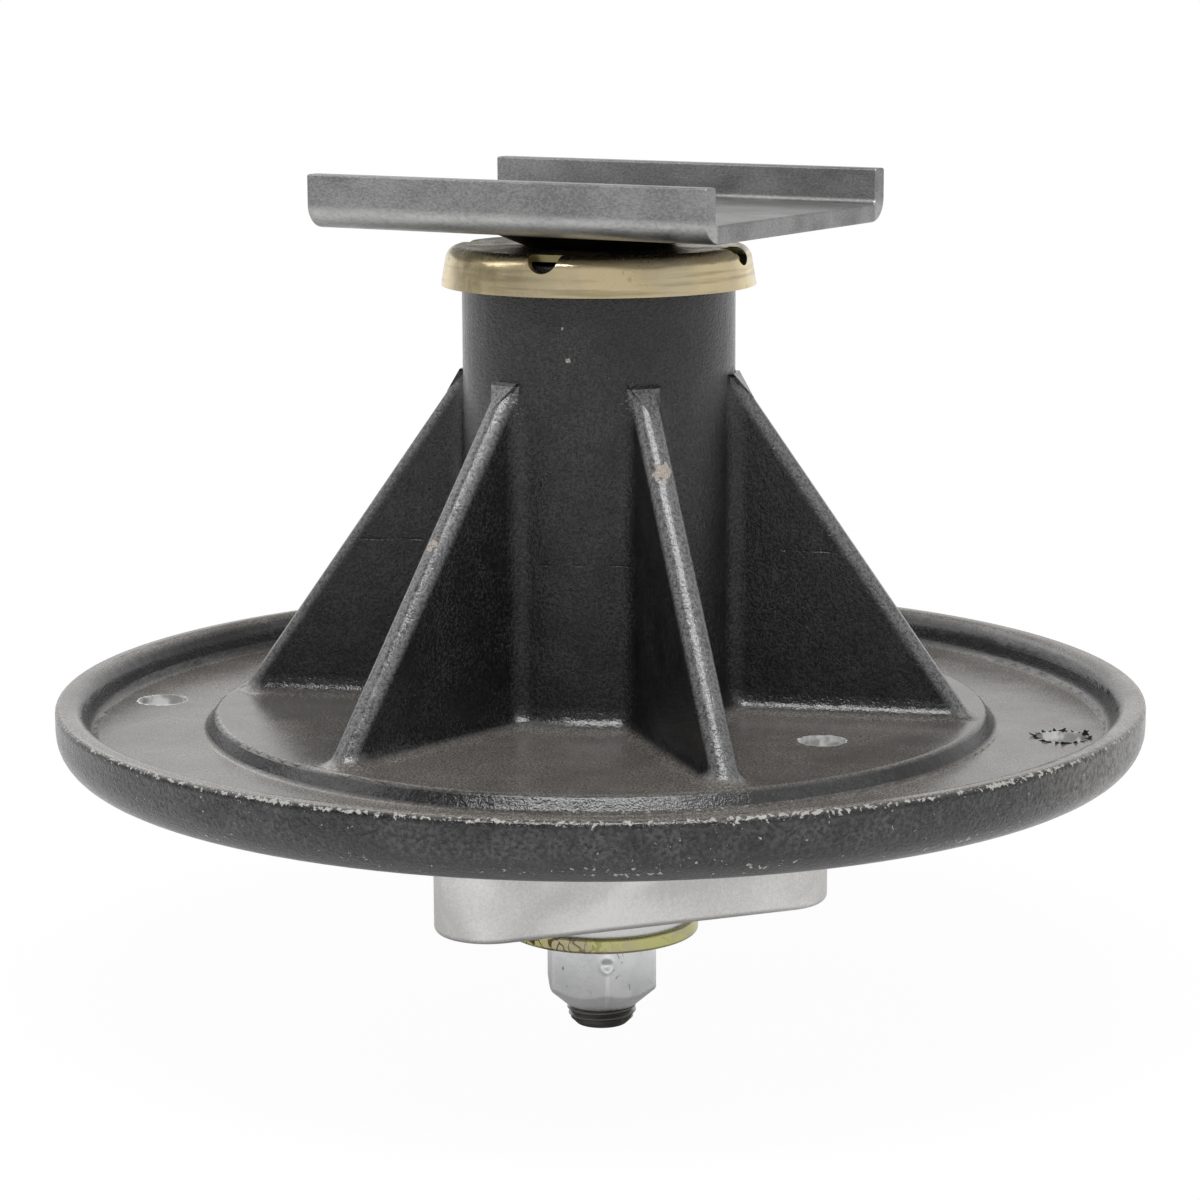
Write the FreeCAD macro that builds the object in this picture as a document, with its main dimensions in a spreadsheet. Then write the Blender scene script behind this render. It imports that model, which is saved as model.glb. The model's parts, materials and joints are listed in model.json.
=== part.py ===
import FreeCAD, Part
import math
import os
import re

import Sketcher

# Mower deck spindle, blade end up. The origin is on the spindle axis at the flange's deck face,
# +Z runs along the axis towards the blade channel and +X along the channel.
# Driving dimensions, in millimetres, degrees and counts: name, value and what it measures.
DIMENSIONS = (
    ("flange_radius", 122.0, "outside of the round flange"),
    ("rim_height", 14.1, "crest of the flange's rim above the deck face"),
    ("rim_width", 6.2, "width of the rim across its top"),
    ("rim_wall_run", 1.2, "run of the rim's sloped inner wall"),
    ("floor_height", 6.8, "flange floor above the deck face"),
    ("pad_height", 10.4, "raised middle of the flange above the deck face"),
    ("pad_top_radius", 86.6, "top edge of the raised middle"),
    ("pad_base_radius", 89.0, "base of the raised middle"),
    ("rim_under_fillet", 8.8, "large rounding under the rim"),
    ("rim_outer_fillet", 1.4, "rounding of the rim's outer edge"),
    ("rim_inner_fillet", 4.2, "large rounding of the rim's inner edge"),
    ("rim_foot_fillet", 2.4, "rounding where the rim's wall meets the floor"),
    ("pad_edge_fillet", 1.6, "rounding of the raised middle's top edge and base"),
    ("tube_radius", 30.3, "outside of the bearing tube"),
    ("tube_root_fillet", 5.5, "rounding at the foot of the tube"),
    ("gusset_count", 6, "gussets, and deck bolts, around the axis"),
    ("gusset_turn", 20.0, "azimuth of the first gusset"),
    ("gusset_thickness", 6.2, "thickness of a gusset"),
    ("gusset_top", 87.0, "height where a gusset's edge meets the tube"),
    ("gusset_foot_radius", 84.0, "radius where a gusset's edge reaches the raised middle"),
    ("gusset_bury", 2.5, "depth that a gusset is sunk into the tube and the flange"),
    ("gusset_nose_fillet", 2.9, "rounding of a gusset's free edge"),
    ("gusset_root_fillet", 4.4, "rounding along a gusset's roots"),
    ("gusset_flare_top", 86.2, "level top of a gusset's flared end"),
    ("gusset_flare_width", 7.4, "gusset's flared end across the tube"),
    ("gusset_flare_drop", 5.6, "height of a gusset's flared end"),
    ("gusset_flare_stand", 0.15, "flared end proud of the gusset's nose"),
    ("bolt_circle_radius", 104.0, "deck bolt circle"),
    ("bolt_hole_radius", 5.55, "deck bolt hole"),
    ("drain_hole_radius", 5.0, "drain hole between two gussets"),
    ("drain_hole_reach", 61.7, "drain hole from the axis"),
    ("drain_hole_turn", -27.7, "azimuth of the drain hole from the first gusset"),
    ("bearing_bore_radius", 10.0, "bore of a ball bearing"),
    ("bearing_outer_radius", 23.5, "outside of a ball bearing"),
    ("bearing_width", 14.0, "width of a ball bearing"),
    ("bearing_edge_fillet", 0.8, "rounded edges of the bearing rings"),
    ("ball_radius", 3.969, "bearing ball"),
    ("ball_count", 8, "balls in a bearing"),
    ("race_clearance", 0.18, "ball to raceway"),
    ("race_land", 2.6, "ring shoulder from the ball pitch circle"),
    ("cage_half_wall", 1.7, "half the cage's radial wall"),
    ("cage_half_width", 4.9, "half the cage's width"),
    ("cage_clearance", 0.25, "ball to cage pocket"),
    ("seal_thickness", 1.2, "bearing seal"),
    ("seal_inset", 0.4, "seal below the bearing's face"),
    ("seal_seat_radius", 20.4, "seal seat in the outer ring"),
    ("seal_lip_gap", 0.3, "seal lip to inner ring"),
    ("drive_bearing_base", 3.0, "drive end bearing above the deck face"),
    ("spacer_length", 80.5, "spacer tube between the two bearings"),
    ("spacer_radius", 13.2, "outside of the spacer tube"),
    ("seat_shoulder", 3.0, "height of the shoulders that stop the bearings"),
    ("fit_clearance", 0.01, "radial clearance of the bearings' seats"),
    ("slip_clearance", 0.05, "radial clearance of slip fits on the shaft"),
    ("cap_sheet", 1.5, "sheet of the dust cap"),
    ("cap_height", 8.6, "dust cap from its rim to its top"),
    ("cap_skirt_gap", 3.1, "dust cap's open rim to the tube"),
    ("cap_skirt_taper", 1.5, "dust cap drawn in from its rim to its shoulder"),
    ("cap_shoulder_fillet", 3.2, "rounded shoulder of the dust cap"),
    ("cap_dish_depth", 1.0, "middle of the cap, pressed down onto the inner ring"),
    ("cap_land_radius", 13.6, "flat land of the pressed middle"),
    ("cap_dish_run", 3.4, "sloped wall of the pressed middle"),
    ("cap_notch_count", 4, "drain notches in the cap's shoulder"),
    ("cap_notch_radius", 3.5, "drain notch"),
    ("cap_notch_drop", 0.2, "notch centre below the cap's top"),
    ("cap_notch_depth", 5.4, "notch inwards from the cap's rim"),
    ("cap_turn", 10.4, "azimuth of the first drain notch"),
    ("head_height", 5.3, "shaft head between the cap and the channel"),
    ("head_top_radius", 25.0, "shaft head under the channel"),
    ("head_neck_radius", 16.4, "shaft head where it leaves the cap"),
    ("head_edge", 0.8, "straight edge of the shaft head"),
    ("shaft_seat_radius", 9.525, "shaft inside the pulley hub"),
    ("journal_step", 0.5, "end of the journal inside the drive end bearing"),
    ("thread_root_radius", 7.1, "threaded end of the shaft at the bottom of its thread"),
    ("thread_relief", 1.0, "thread carried on above the washer"),
    ("thread_overrun", 4.8, "threaded end beyond the nut"),
    ("thread_end_chamfer", 1.2, "chamfer of the threaded end"),
    ("blade_thread_radius", 5.75, "tapped hole for the blade bolt"),
    ("blade_thread_depth", 35.0, "depth of the tapped hole"),
    ("blade_thread_point", 3.3, "drill point below the tapped hole"),
    ("channel_length", 100.5, "blade channel along X"),
    ("channel_width", 79.5, "blade channel across its flanges"),
    ("channel_height", 11.8, "blade channel from its base to its edges"),
    ("channel_sheet", 4.0, "sheet of the blade channel"),
    ("channel_inner_bend", 1.2, "inside bend of the blade channel"),
    ("channel_hole_radius", 6.9, "blade bolt clearance hole"),
    ("hub_inradius", 31.9, "flat side of the three-lobed hub from the axis"),
    ("hub_lobe_radius", 12.1, "rounding of the hub's lobes"),
    ("hub_thickness", 17.95, "lobed plate of the hub"),
    ("hub_edge_fillet", 1.5, "broken edges of the lobed plate"),
    ("hub_neck_length", 19.0, "neck between the lobed plate and the bearing"),
    ("hub_neck_radius", 13.6, "neck of the hub"),
    ("hub_pilot_height", 4.85, "round pilot on the hub's outer face"),
    ("hub_pilot_radius", 21.0, "round pilot of the hub"),
    ("hub_hole_radius", 4.0, "tapped pulley holes in the lobes"),
    ("hub_turn", 23.1, "azimuth of the first lobe and of the drive key"),
    ("key_width", 4.76, "square drive key"),
    ("key_length", 15.0, "length of the drive key"),
    ("key_rise", 3.0, "drive key above the hub's outer face"),
    ("washer_radius", 22.2, "outside of the clamp washer"),
    ("washer_hole_radius", 8.7, "hole of the clamp washer"),
    ("washer_thickness", 3.5, "clamp washer"),
    ("washer_edge_fillet", 0.6, "rolled edge of the clamp washer"),
    ("nut_across_flats", 23.8, "clamp nut across its flats"),
    ("nut_height", 17.5, "height of the clamp nut"),
    ("nut_face_radius", 11.4, "round face that the nut's upper chamfer leaves"),
    ("nut_chamfer_angle", 30.0, "slope of the nut's upper chamfer"),
    ("nut_cone_radius", 8.3, "round face at the nut's conical lower end"),
    ("nut_cone_angle", 41.0, "slope of the nut's conical lower end"),
    ("nut_turn", 7.1, "azimuth of a corner of the nut"),
    ("cut_margin", 1.0, "how far a cutting outline passes the solid"),
)

# Levels along the axis and shared radii, worked out from the driving dimensions.
BALL_PITCH = "((bearing_bore_radius + bearing_outer_radius) / 2)"
SEAT_RADIUS = "(bearing_outer_radius + fit_clearance)"
JOURNAL_RADIUS = "(bearing_bore_radius - fit_clearance)"
DRIVE_BEARING_TOP = "(drive_bearing_base + bearing_width)"
BLADE_BEARING_BASE = f"({DRIVE_BEARING_TOP} + spacer_length)"
TUBE_TOP = f"({BLADE_BEARING_BASE} + bearing_width)"
CAP_LAND_TOP = f"({TUBE_TOP} + cap_sheet)"
CAP_TOP = f"({CAP_LAND_TOP} + cap_dish_depth)"
CHANNEL_BASE = f"({CAP_LAND_TOP} + head_height)"
CHANNEL_FLOOR = f"({CHANNEL_BASE} + channel_sheet)"
HUB_BACK = "(drive_bearing_base - hub_neck_length)"
HUB_FACE = f"({HUB_BACK} - hub_thickness)"
WASHER_TOP = f"({HUB_FACE} - hub_pilot_height)"
NUT_TOP = f"({WASHER_TOP} - washer_thickness)"
NUT_END = f"({NUT_TOP} - nut_height)"
THREAD_END = f"({NUT_END} - thread_overrun)"
GUSSET_LEAN = "((gusset_foot_radius - tube_radius) / (gusset_top - pad_height))"
KEY_SINK = "(shaft_seat_radius - key_width / 2)"
KEY_BASE = f"({HUB_FACE} + key_rise)"
KEY_TOP = f"({KEY_BASE} + key_length)"
CAP_PLATE_BASE = f"({TUBE_TOP} + cap_dish_depth)"
CAP_RIM_RADIUS = "(tube_radius + cap_skirt_gap + cap_sheet)"
CAP_TOP_RADIUS = f"({CAP_RIM_RADIUS} - cap_skirt_taper)"
NUT_REACH = "(nut_across_flats / 2 / cos(30 deg))"

SHEET_NAME = "Dimensions"
DIMENSION_NAMES = {name for name, value, note in DIMENSIONS}
SAME_PLACE = 0.02
UP = FreeCAD.Vector(0, 0, 1)

doc = FreeCAD.newDocument("mower_deck_spindle")
sheet = doc.addObject("Spreadsheet::Sheet", SHEET_NAME)
for row, (name, value, note) in enumerate(DIMENSIONS, start=1):
    sheet.set(f"A{row}", str(value))
    sheet.setAlias(f"A{row}", name)
    sheet.set(f"B{row}", note)
doc.recompute()
sub_parts = []


def bound(text):
    """The expression text with every dimension's name pointed at the spreadsheet."""
    def point(word):
        return f"{SHEET_NAME}.{word[0]}" if word[0] in DIMENSION_NAMES else word[0]

    return re.sub(r"[a-z]\w*", point, text)


def value_of(text):
    """The present value of an expression in the dimensions' names."""
    return float(sheet.evalExpression(text))


def bind(item, property_path, text):
    """Bind a property of a document object to an expression in the dimensions' names."""
    item.setExpression(property_path, bound(text))


def new_body(label, turn=None, rise=None):
    """A body that becomes a sub-part, turned about the axis and raised along it."""
    body = doc.addObject("PartDesign::Body", label)
    body.Label = label
    body.Placement = FreeCAD.Placement(FreeCAD.Vector(), FreeCAD.Rotation(UP, 0))
    if turn:
        bind(body, "Placement.Rotation.Angle", turn)
    if rise:
        bind(body, "Placement.Base.z", rise)
    sub_parts.append(body)
    return body


def origin_feature(body, role):
    """One of the body's own origin planes or axes."""
    return next(item for item in body.Origin.OriginFeatures if item.Role == role)


def new_sketch(body, name, plane, lift=None):
    """A sketch on one of the body's origin planes, lifted along the plane's normal."""
    sketch = body.newObject("Sketcher::SketchObject", name)
    sketch.AttachmentSupport = [(origin_feature(body, plane), "")]
    sketch.MapMode = "FlatFace"
    if lift:
        bind(sketch, "AttachmentOffset.Base.z", lift)
    return sketch


def new_feature(body, kind, name):
    """A feature that becomes the body's last one."""
    feature = body.newObject(f"PartDesign::{kind}", name)
    body.Tip = feature
    return feature


def place_point(sketch, geometry, point, place):
    """Hold one point of a sketch at a pair of expressions."""
    for kind, text in zip(("DistanceX", "DistanceY"), place):
        index = sketch.addConstraint(Sketcher.Constraint(kind, geometry, point, value_of(text)))
        bind(sketch, f"Constraints[{index}]", text)


def draw_outline(sketch, corners):
    """A closed outline through corners (across, up), rounded where a corner also names a radius."""
    points = [FreeCAD.Vector(value_of(corner[0]), value_of(corner[1]), 0) for corner in corners]
    first = sketch.GeometryCount
    for start, end in zip(points, points[1:] + points[:1]):
        sketch.addGeometry(Part.LineSegment(start, end))
    for step in range(len(corners)):
        following = (step + 1) % len(corners)
        sketch.addConstraint(Sketcher.Constraint("Coincident", first + step, 2, first + following, 1))
    for step, corner in enumerate(corners):
        place_point(sketch, first + step, 1, corner[:2])
    for step, corner in enumerate(corners):
        if len(corner) > 2:
            arc = sketch.GeometryCount
            sketch.fillet(first + step, 1, value_of(corner[2]), True, True)
            size = sketch.addConstraint(Sketcher.Constraint("Radius", arc, value_of(corner[2])))
            bind(sketch, f"Constraints[{size}]", corner[2])


def draw_circle(sketch, across, up, radius):
    """A circle whose centre and radius are expressions."""
    centre = FreeCAD.Vector(value_of(across), value_of(up), 0)
    index = sketch.addGeometry(Part.Circle(centre, UP, value_of(radius)))
    place_point(sketch, index, 3, (across, up))
    size = sketch.addConstraint(Sketcher.Constraint("Radius", index, value_of(radius)))
    bind(sketch, f"Constraints[{size}]", radius)


def draw_rectangle(sketch, left, right, bottom, top):
    """A rectangle between two pairs of expressions."""
    draw_outline(sketch, [(left, bottom), (right, bottom), (right, top), (left, top)])


def add_turned(body, name, kind, corners):
    """A Revolution or Groove about the axis from a half section in radius and height."""
    sketch = new_sketch(body, f"{name}_section", "XZ_Plane")
    draw_outline(sketch, corners)
    return turn_sketch(body, name, kind, sketch)


def turn_sketch(body, name, kind, sketch):
    """A Revolution or Groove of a sketch about its vertical axis."""
    feature = new_feature(body, kind, name)
    feature.Profile = sketch
    feature.ReferenceAxis = (sketch, ["V_Axis"])
    feature.Angle = 360
    return feature


def add_pad(body, name, sketch, length, side_type="One side"):
    """A Pad of a sketch by an expression."""
    feature = new_feature(body, "Pad", name)
    feature.Profile = sketch
    feature.SideType = side_type
    bind(feature, "Length", length)
    return feature


def add_through_cut(body, name, sketch):
    """A Pocket through everything on the side that the sketch's normal points to."""
    feature = new_feature(body, "Pocket", name)
    feature.Profile = sketch
    feature.Type = "ThroughAll"
    feature.Reversed = True
    return feature


def add_round_cut(body, name, across, up, radius, level, count=None):
    """A round hole upwards from a level, repeated about the axis where a count is given."""
    sketch = new_sketch(body, f"{name}_outline", "XY_Plane", lift=level)
    draw_circle(sketch, across, up, radius)
    cut = add_through_cut(body, name, sketch)
    if count:
        add_polar(body, f"{name}s", [cut], count)


def add_polar(body, name, originals, count, whole_shape=False):
    """Copies evenly spaced about the axis."""
    doc.recompute()
    feature = new_feature(body, "PolarPattern", name)
    if whole_shape:
        feature.TransformMode = "Whole shape"
    else:
        feature.Originals = originals
    feature.Axis = (origin_feature(body, "Z_Axis"), [""])
    feature.Angle = 360
    bind(feature, "Occurrences", count)
    return feature


def edges_where(feature, test):
    """Names of a feature's edges that pass a test."""
    doc.recompute()
    return [f"Edge{index}" for index, edge in enumerate(feature.Shape.Edges, start=1) if test(edge)]


def add_fillet(body, name, base, radius, test):
    """A Fillet of every edge of the base feature that passes a test."""
    names = edges_where(base, test)
    if not names:
        raise RuntimeError(f"{name}: no edge to round")
    feature = new_feature(body, "Fillet", name)
    feature.Base = (base, names)
    bind(feature, "Radius", radius)
    return feature


def same_way(way, axis):
    """Whether two directions are parallel."""
    return way.cross(axis).Length < SAME_PLACE * way.Length * axis.Length


def along_line(edge, axis):
    """Whether an edge is straight and runs along an axis."""
    return isinstance(edge.Curve, Part.Line) and same_way(edge.tangentAt(edge.FirstParameter), axis)


def root_test(lean):
    """A test for the edges where the gussets grow out of the tube and the flange.

    They lie within a gusset's thickness, outside the tube, and don't run along its slanted nose.
    """
    step = 360 / value_of("gusset_count")
    half = value_of("gusset_thickness") / 2
    innermost = value_of("tube_radius - gusset_bury")

    def test(edge):
        ends = (edge.FirstParameter, (edge.FirstParameter + edge.LastParameter) / 2, edge.LastParameter)
        points = [edge.valueAt(place) for place in ends]
        azimuth = math.degrees(math.atan2(points[1].y, points[1].x))
        turn = FreeCAD.Rotation(UP, -step * round(azimuth / step))
        points = [turn.multVec(point) for point in points]
        widest = max(abs(point.y) for point in points)
        in_gusset = SAME_PLACE < widest < half + SAME_PLACE and min(point.x for point in points) > innermost
        return in_gusset and not same_way(points[2] - points[0], lean)

    return test


def add_flares(body):
    """Widen the top of each gusset into a flat facet with a level end."""
    point = "(gusset_flare_top - gusset_flare_drop)"
    root = "(tube_radius - gusset_bury)"
    face = "(tube_radius + gusset_flare_stand)"
    reach = f"({face} + {GUSSET_LEAN} * (gusset_top - {point}))"
    outline = new_sketch(body, "flare_outline", "YZ_Plane", lift=root)
    draw_outline(outline, [
        ("0", point),
        ("gusset_flare_width / 2", "gusset_flare_top"),
        ("-gusset_flare_width / 2", "gusset_flare_top"),
    ])
    flare = add_pad(body, "flare", outline, f"{reach} - {root}")
    beyond = new_sketch(body, "flare_trim_outline", "XZ_Plane")
    draw_outline(beyond, [
        (reach, point),
        (f"{reach} + cut_margin", point),
        (f"{reach} + cut_margin", "gusset_top + gusset_flare_drop"),
        (face, "gusset_top + gusset_flare_drop"),
        (face, "gusset_flare_top"),
        (f"{face} + {GUSSET_LEAN} * (gusset_top - gusset_flare_top)", "gusset_flare_top"),
    ])
    trim = new_feature(body, "Pocket", "flare_trim")
    trim.Profile = beyond
    trim.SideType = "Symmetric"
    bind(trim, "Length", "gusset_flare_width + 2 * cut_margin")
    add_polar(body, "flares", [flare, trim], "gusset_count")


def make_housing():
    """Cast housing: rimmed flange, bearing tube and gussets, with two bearing seats."""
    body = new_body("housing", turn="gusset_turn")
    web = new_sketch(body, "gusset_section", "XZ_Plane")
    low = "(floor_height - gusset_bury)"
    inner = "(tube_radius - gusset_bury)"
    draw_outline(web, [
        (inner, low),
        (f"gusset_foot_radius + {GUSSET_LEAN} * (pad_height - {low})", low),
        (inner, f"gusset_top + gusset_bury / {GUSSET_LEAN}"),
    ])
    gusset = add_pad(body, "gusset", web, "gusset_thickness", "Symmetric")
    lean = FreeCAD.Vector(value_of(GUSSET_LEAN), 0, -1)
    add_fillet(body, "gusset_nose", gusset, "gusset_nose_fillet", lambda edge: along_line(edge, lean))
    add_polar(body, "gussets", [], "gusset_count", whole_shape=True)
    casting = add_turned(body, "casting", "Revolution", [
        (SEAT_RADIUS, "0"),
        ("flange_radius", "0", "rim_under_fillet"),
        ("flange_radius", "rim_height", "rim_outer_fillet"),
        ("flange_radius - rim_width", "rim_height", "rim_inner_fillet"),
        ("flange_radius - rim_width - rim_wall_run", "floor_height", "rim_foot_fillet"),
        ("pad_base_radius", "floor_height", "pad_edge_fillet"),
        ("pad_top_radius", "pad_height", "pad_edge_fillet"),
        ("tube_radius", "pad_height", "tube_root_fillet"),
        ("tube_radius", TUBE_TOP),
        (SEAT_RADIUS, TUBE_TOP),
        (SEAT_RADIUS, BLADE_BEARING_BASE),
        ("bearing_outer_radius - seat_shoulder", BLADE_BEARING_BASE),
        ("bearing_outer_radius - seat_shoulder", DRIVE_BEARING_TOP),
        (SEAT_RADIUS, DRIVE_BEARING_TOP),
    ])
    add_fillet(body, "gusset_roots", casting, "gusset_root_fillet", root_test(lean))
    add_flares(body)
    add_round_cut(body, "bolt_hole", "bolt_circle_radius", "0", "bolt_hole_radius", "0", "gusset_count")
    drain = [f"drain_hole_reach * {part}(drain_hole_turn * 1 deg)" for part in ("cos", "sin")]
    add_round_cut(body, "drain_hole", *drain, "drain_hole_radius", "0")


def make_shaft():
    """Turned shaft: head under the channel, journal, hub seat with a keyway, threaded end."""
    body = new_body("spindle_shaft", turn="hub_turn")
    add_turned(body, "shaft_turning", "Revolution", [
        ("0", THREAD_END),
        ("thread_root_radius - thread_end_chamfer", THREAD_END),
        ("thread_root_radius", f"{THREAD_END} + thread_end_chamfer"),
        ("thread_root_radius", f"{WASHER_TOP} + thread_relief"),
        ("shaft_seat_radius", f"{WASHER_TOP} + thread_relief"),
        ("shaft_seat_radius", "drive_bearing_base + journal_step"),
        (JOURNAL_RADIUS, "drive_bearing_base + journal_step"),
        (JOURNAL_RADIUS, CAP_LAND_TOP),
        ("cap_land_radius", CAP_LAND_TOP),
        ("head_neck_radius", CAP_TOP),
        ("head_top_radius", f"{CHANNEL_BASE} - head_edge"),
        ("head_top_radius", CHANNEL_BASE),
        ("0", CHANNEL_BASE),
    ])
    add_turned(body, "blade_thread", "Groove", [
        ("0", CHANNEL_BASE),
        ("blade_thread_radius", CHANNEL_BASE),
        ("blade_thread_radius", f"{CHANNEL_BASE} - blade_thread_depth"),
        ("0", f"{CHANNEL_BASE} - blade_thread_depth - blade_thread_point"),
    ])
    slot = new_sketch(body, "keyway_outline", "YZ_Plane", lift=KEY_SINK)
    draw_rectangle(slot, "-key_width / 2 - slip_clearance", "key_width / 2 + slip_clearance",
                   f"{KEY_BASE} - slip_clearance", f"{KEY_TOP} + slip_clearance")
    add_through_cut(body, "keyway", slot)


def make_channel():
    """Folded steel channel that holds the blade between its two flanges."""
    body = new_body("blade_channel")
    outer_bend = "channel_inner_bend + channel_sheet"
    half = "channel_width / 2"
    inside = "(channel_width / 2 - channel_sheet)"
    top = f"{CHANNEL_BASE} + channel_height"
    section = new_sketch(body, "channel_section", "YZ_Plane")
    draw_outline(section, [
        (f"-{half}", CHANNEL_BASE, outer_bend),
        (half, CHANNEL_BASE, outer_bend),
        (half, top),
        (inside, top),
        (inside, CHANNEL_FLOOR, "channel_inner_bend"),
        (f"-{inside}", CHANNEL_FLOOR, "channel_inner_bend"),
        (f"-{inside}", top),
        (f"-{half}", top),
    ])
    add_pad(body, "channel_fold", section, "channel_length", "Symmetric")
    add_round_cut(body, "blade_bolt_hole", "0", "0", "channel_hole_radius", CHANNEL_BASE)


def make_cap():
    """Pressed dust cap over the tube's end, with drain notches in its shoulder."""
    body = new_body("dust_cap", turn="cap_turn")
    bore = "(bearing_bore_radius + slip_clearance)"
    dish_edge = "(cap_land_radius + cap_dish_run)"
    add_turned(body, "cap_pressing", "Revolution", [
        (bore, TUBE_TOP),
        ("cap_land_radius", TUBE_TOP),
        (dish_edge, CAP_PLATE_BASE),
        (f"{CAP_TOP_RADIUS} - cap_sheet", CAP_PLATE_BASE, "cap_shoulder_fillet - cap_sheet"),
        (f"{CAP_RIM_RADIUS} - cap_sheet", f"{CAP_TOP} - cap_height"),
        (CAP_RIM_RADIUS, f"{CAP_TOP} - cap_height"),
        (CAP_TOP_RADIUS, CAP_TOP, "cap_shoulder_fillet"),
        (dish_edge, CAP_TOP),
        ("cap_land_radius", CAP_LAND_TOP),
        (bore, CAP_LAND_TOP),
    ])
    outline = new_sketch(body, "notch_outline", "YZ_Plane", lift=f"{CAP_RIM_RADIUS} - cap_notch_depth")
    draw_circle(outline, "0", f"{CAP_TOP} - cap_notch_drop", "cap_notch_radius")
    notch = add_through_cut(body, "notch", outline)
    add_polar(body, "notches", [notch], "cap_notch_count")


def make_bearing(name, base):
    """Sealed ball bearing whose lower face is at a height: rings, balls, cage and two seals."""
    middle = f"{base} + bearing_width / 2"
    half = "bearing_width / 2"
    seal_floor = "(bearing_width / 2 - seal_inset - seal_thickness)"
    outer_land = f"{BALL_PITCH} + race_land"
    inner_land = f"{BALL_PITCH} - race_land"

    outer = new_body(f"{name}_bearing_outer_ring", rise=middle)
    add_turned(outer, f"{name}_outer_ring_turning", "Revolution", [
        ("bearing_outer_radius", f"-{half}", "bearing_edge_fillet"),
        ("bearing_outer_radius", half, "bearing_edge_fillet"),
        ("seal_seat_radius", half),
        ("seal_seat_radius", seal_floor),
        (outer_land, seal_floor),
        (outer_land, f"-{seal_floor}"),
        ("seal_seat_radius", f"-{seal_floor}"),
        ("seal_seat_radius", f"-{half}"),
    ])
    add_raceway(outer, f"{name}_outer_raceway")

    inner = new_body(f"{name}_bearing_inner_ring", rise=middle)
    add_turned(inner, f"{name}_inner_ring_turning", "Revolution", [
        ("bearing_bore_radius", f"-{half}", "bearing_edge_fillet"),
        (inner_land, f"-{half}"),
        (inner_land, half),
        ("bearing_bore_radius", half, "bearing_edge_fillet"),
    ])
    add_raceway(inner, f"{name}_inner_raceway")

    balls = []
    for number in range(int(value_of("ball_count"))):
        ball = doc.addObject("Part::Sphere", f"{name}_ball_{number + 1}")
        bind(ball, "Radius", "ball_radius")
        bind(ball, "Placement.Base.x", f"{BALL_PITCH} * cos(360 deg / ball_count * {number})")
        bind(ball, "Placement.Base.y", f"{BALL_PITCH} * sin(360 deg / ball_count * {number})")
        balls.append(ball)
    ball_set = doc.addObject("Part::Compound", f"{name}_bearing_balls")
    ball_set.Links = balls
    bind(ball_set, "Placement.Base.z", middle)
    sub_parts.append(ball_set)

    cage = new_body(f"{name}_bearing_cage", rise=middle)
    add_turned(cage, f"{name}_cage_ring", "Revolution", [
        (f"{BALL_PITCH} - cage_half_wall", "-cage_half_width"),
        (f"{BALL_PITCH} + cage_half_wall", "-cage_half_width"),
        (f"{BALL_PITCH} + cage_half_wall", "cage_half_width"),
        (f"{BALL_PITCH} - cage_half_wall", "cage_half_width"),
    ])
    pocket = new_feature(cage, "SubtractiveSphere", f"{name}_cage_pocket")
    bind(pocket, "Radius", "ball_radius + cage_clearance")
    pocket.AttachmentSupport = [(origin_feature(cage, "YZ_Plane"), "")]
    pocket.MapMode = "FlatFace"
    bind(pocket, "AttachmentOffset.Base.z", BALL_PITCH)
    add_polar(cage, f"{name}_cage_pockets", [pocket], "ball_count")

    for side, foot in (("upper", f"{middle} + {seal_floor}"), ("lower", f"{base} + seal_inset")):
        seal = new_body(f"{name}_bearing_{side}_seal", rise=foot)
        add_turned(seal, f"{name}_{side}_seal_ring", "Revolution", [
            (f"{inner_land} + seal_lip_gap", "0"),
            ("seal_seat_radius - fit_clearance", "0"),
            ("seal_seat_radius - fit_clearance", "seal_thickness"),
            (f"{inner_land} + seal_lip_gap", "seal_thickness"),
        ])


def add_raceway(body, name):
    """A round groove for the balls, cut about the axis at the ball pitch circle."""
    sketch = new_sketch(body, f"{name}_section", "XZ_Plane")
    draw_circle(sketch, BALL_PITCH, "0", "ball_radius + race_clearance")
    turn_sketch(body, name, "Groove", sketch)


def make_spacer():
    """Tube that keeps the two inner rings apart."""
    body = new_body("bearing_spacer")
    add_turned(body, "spacer_tube", "Revolution", [
        ("bearing_bore_radius + slip_clearance", DRIVE_BEARING_TOP),
        ("spacer_radius", DRIVE_BEARING_TOP),
        ("spacer_radius", BLADE_BEARING_BASE),
        ("bearing_bore_radius + slip_clearance", BLADE_BEARING_BASE),
    ])


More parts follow.
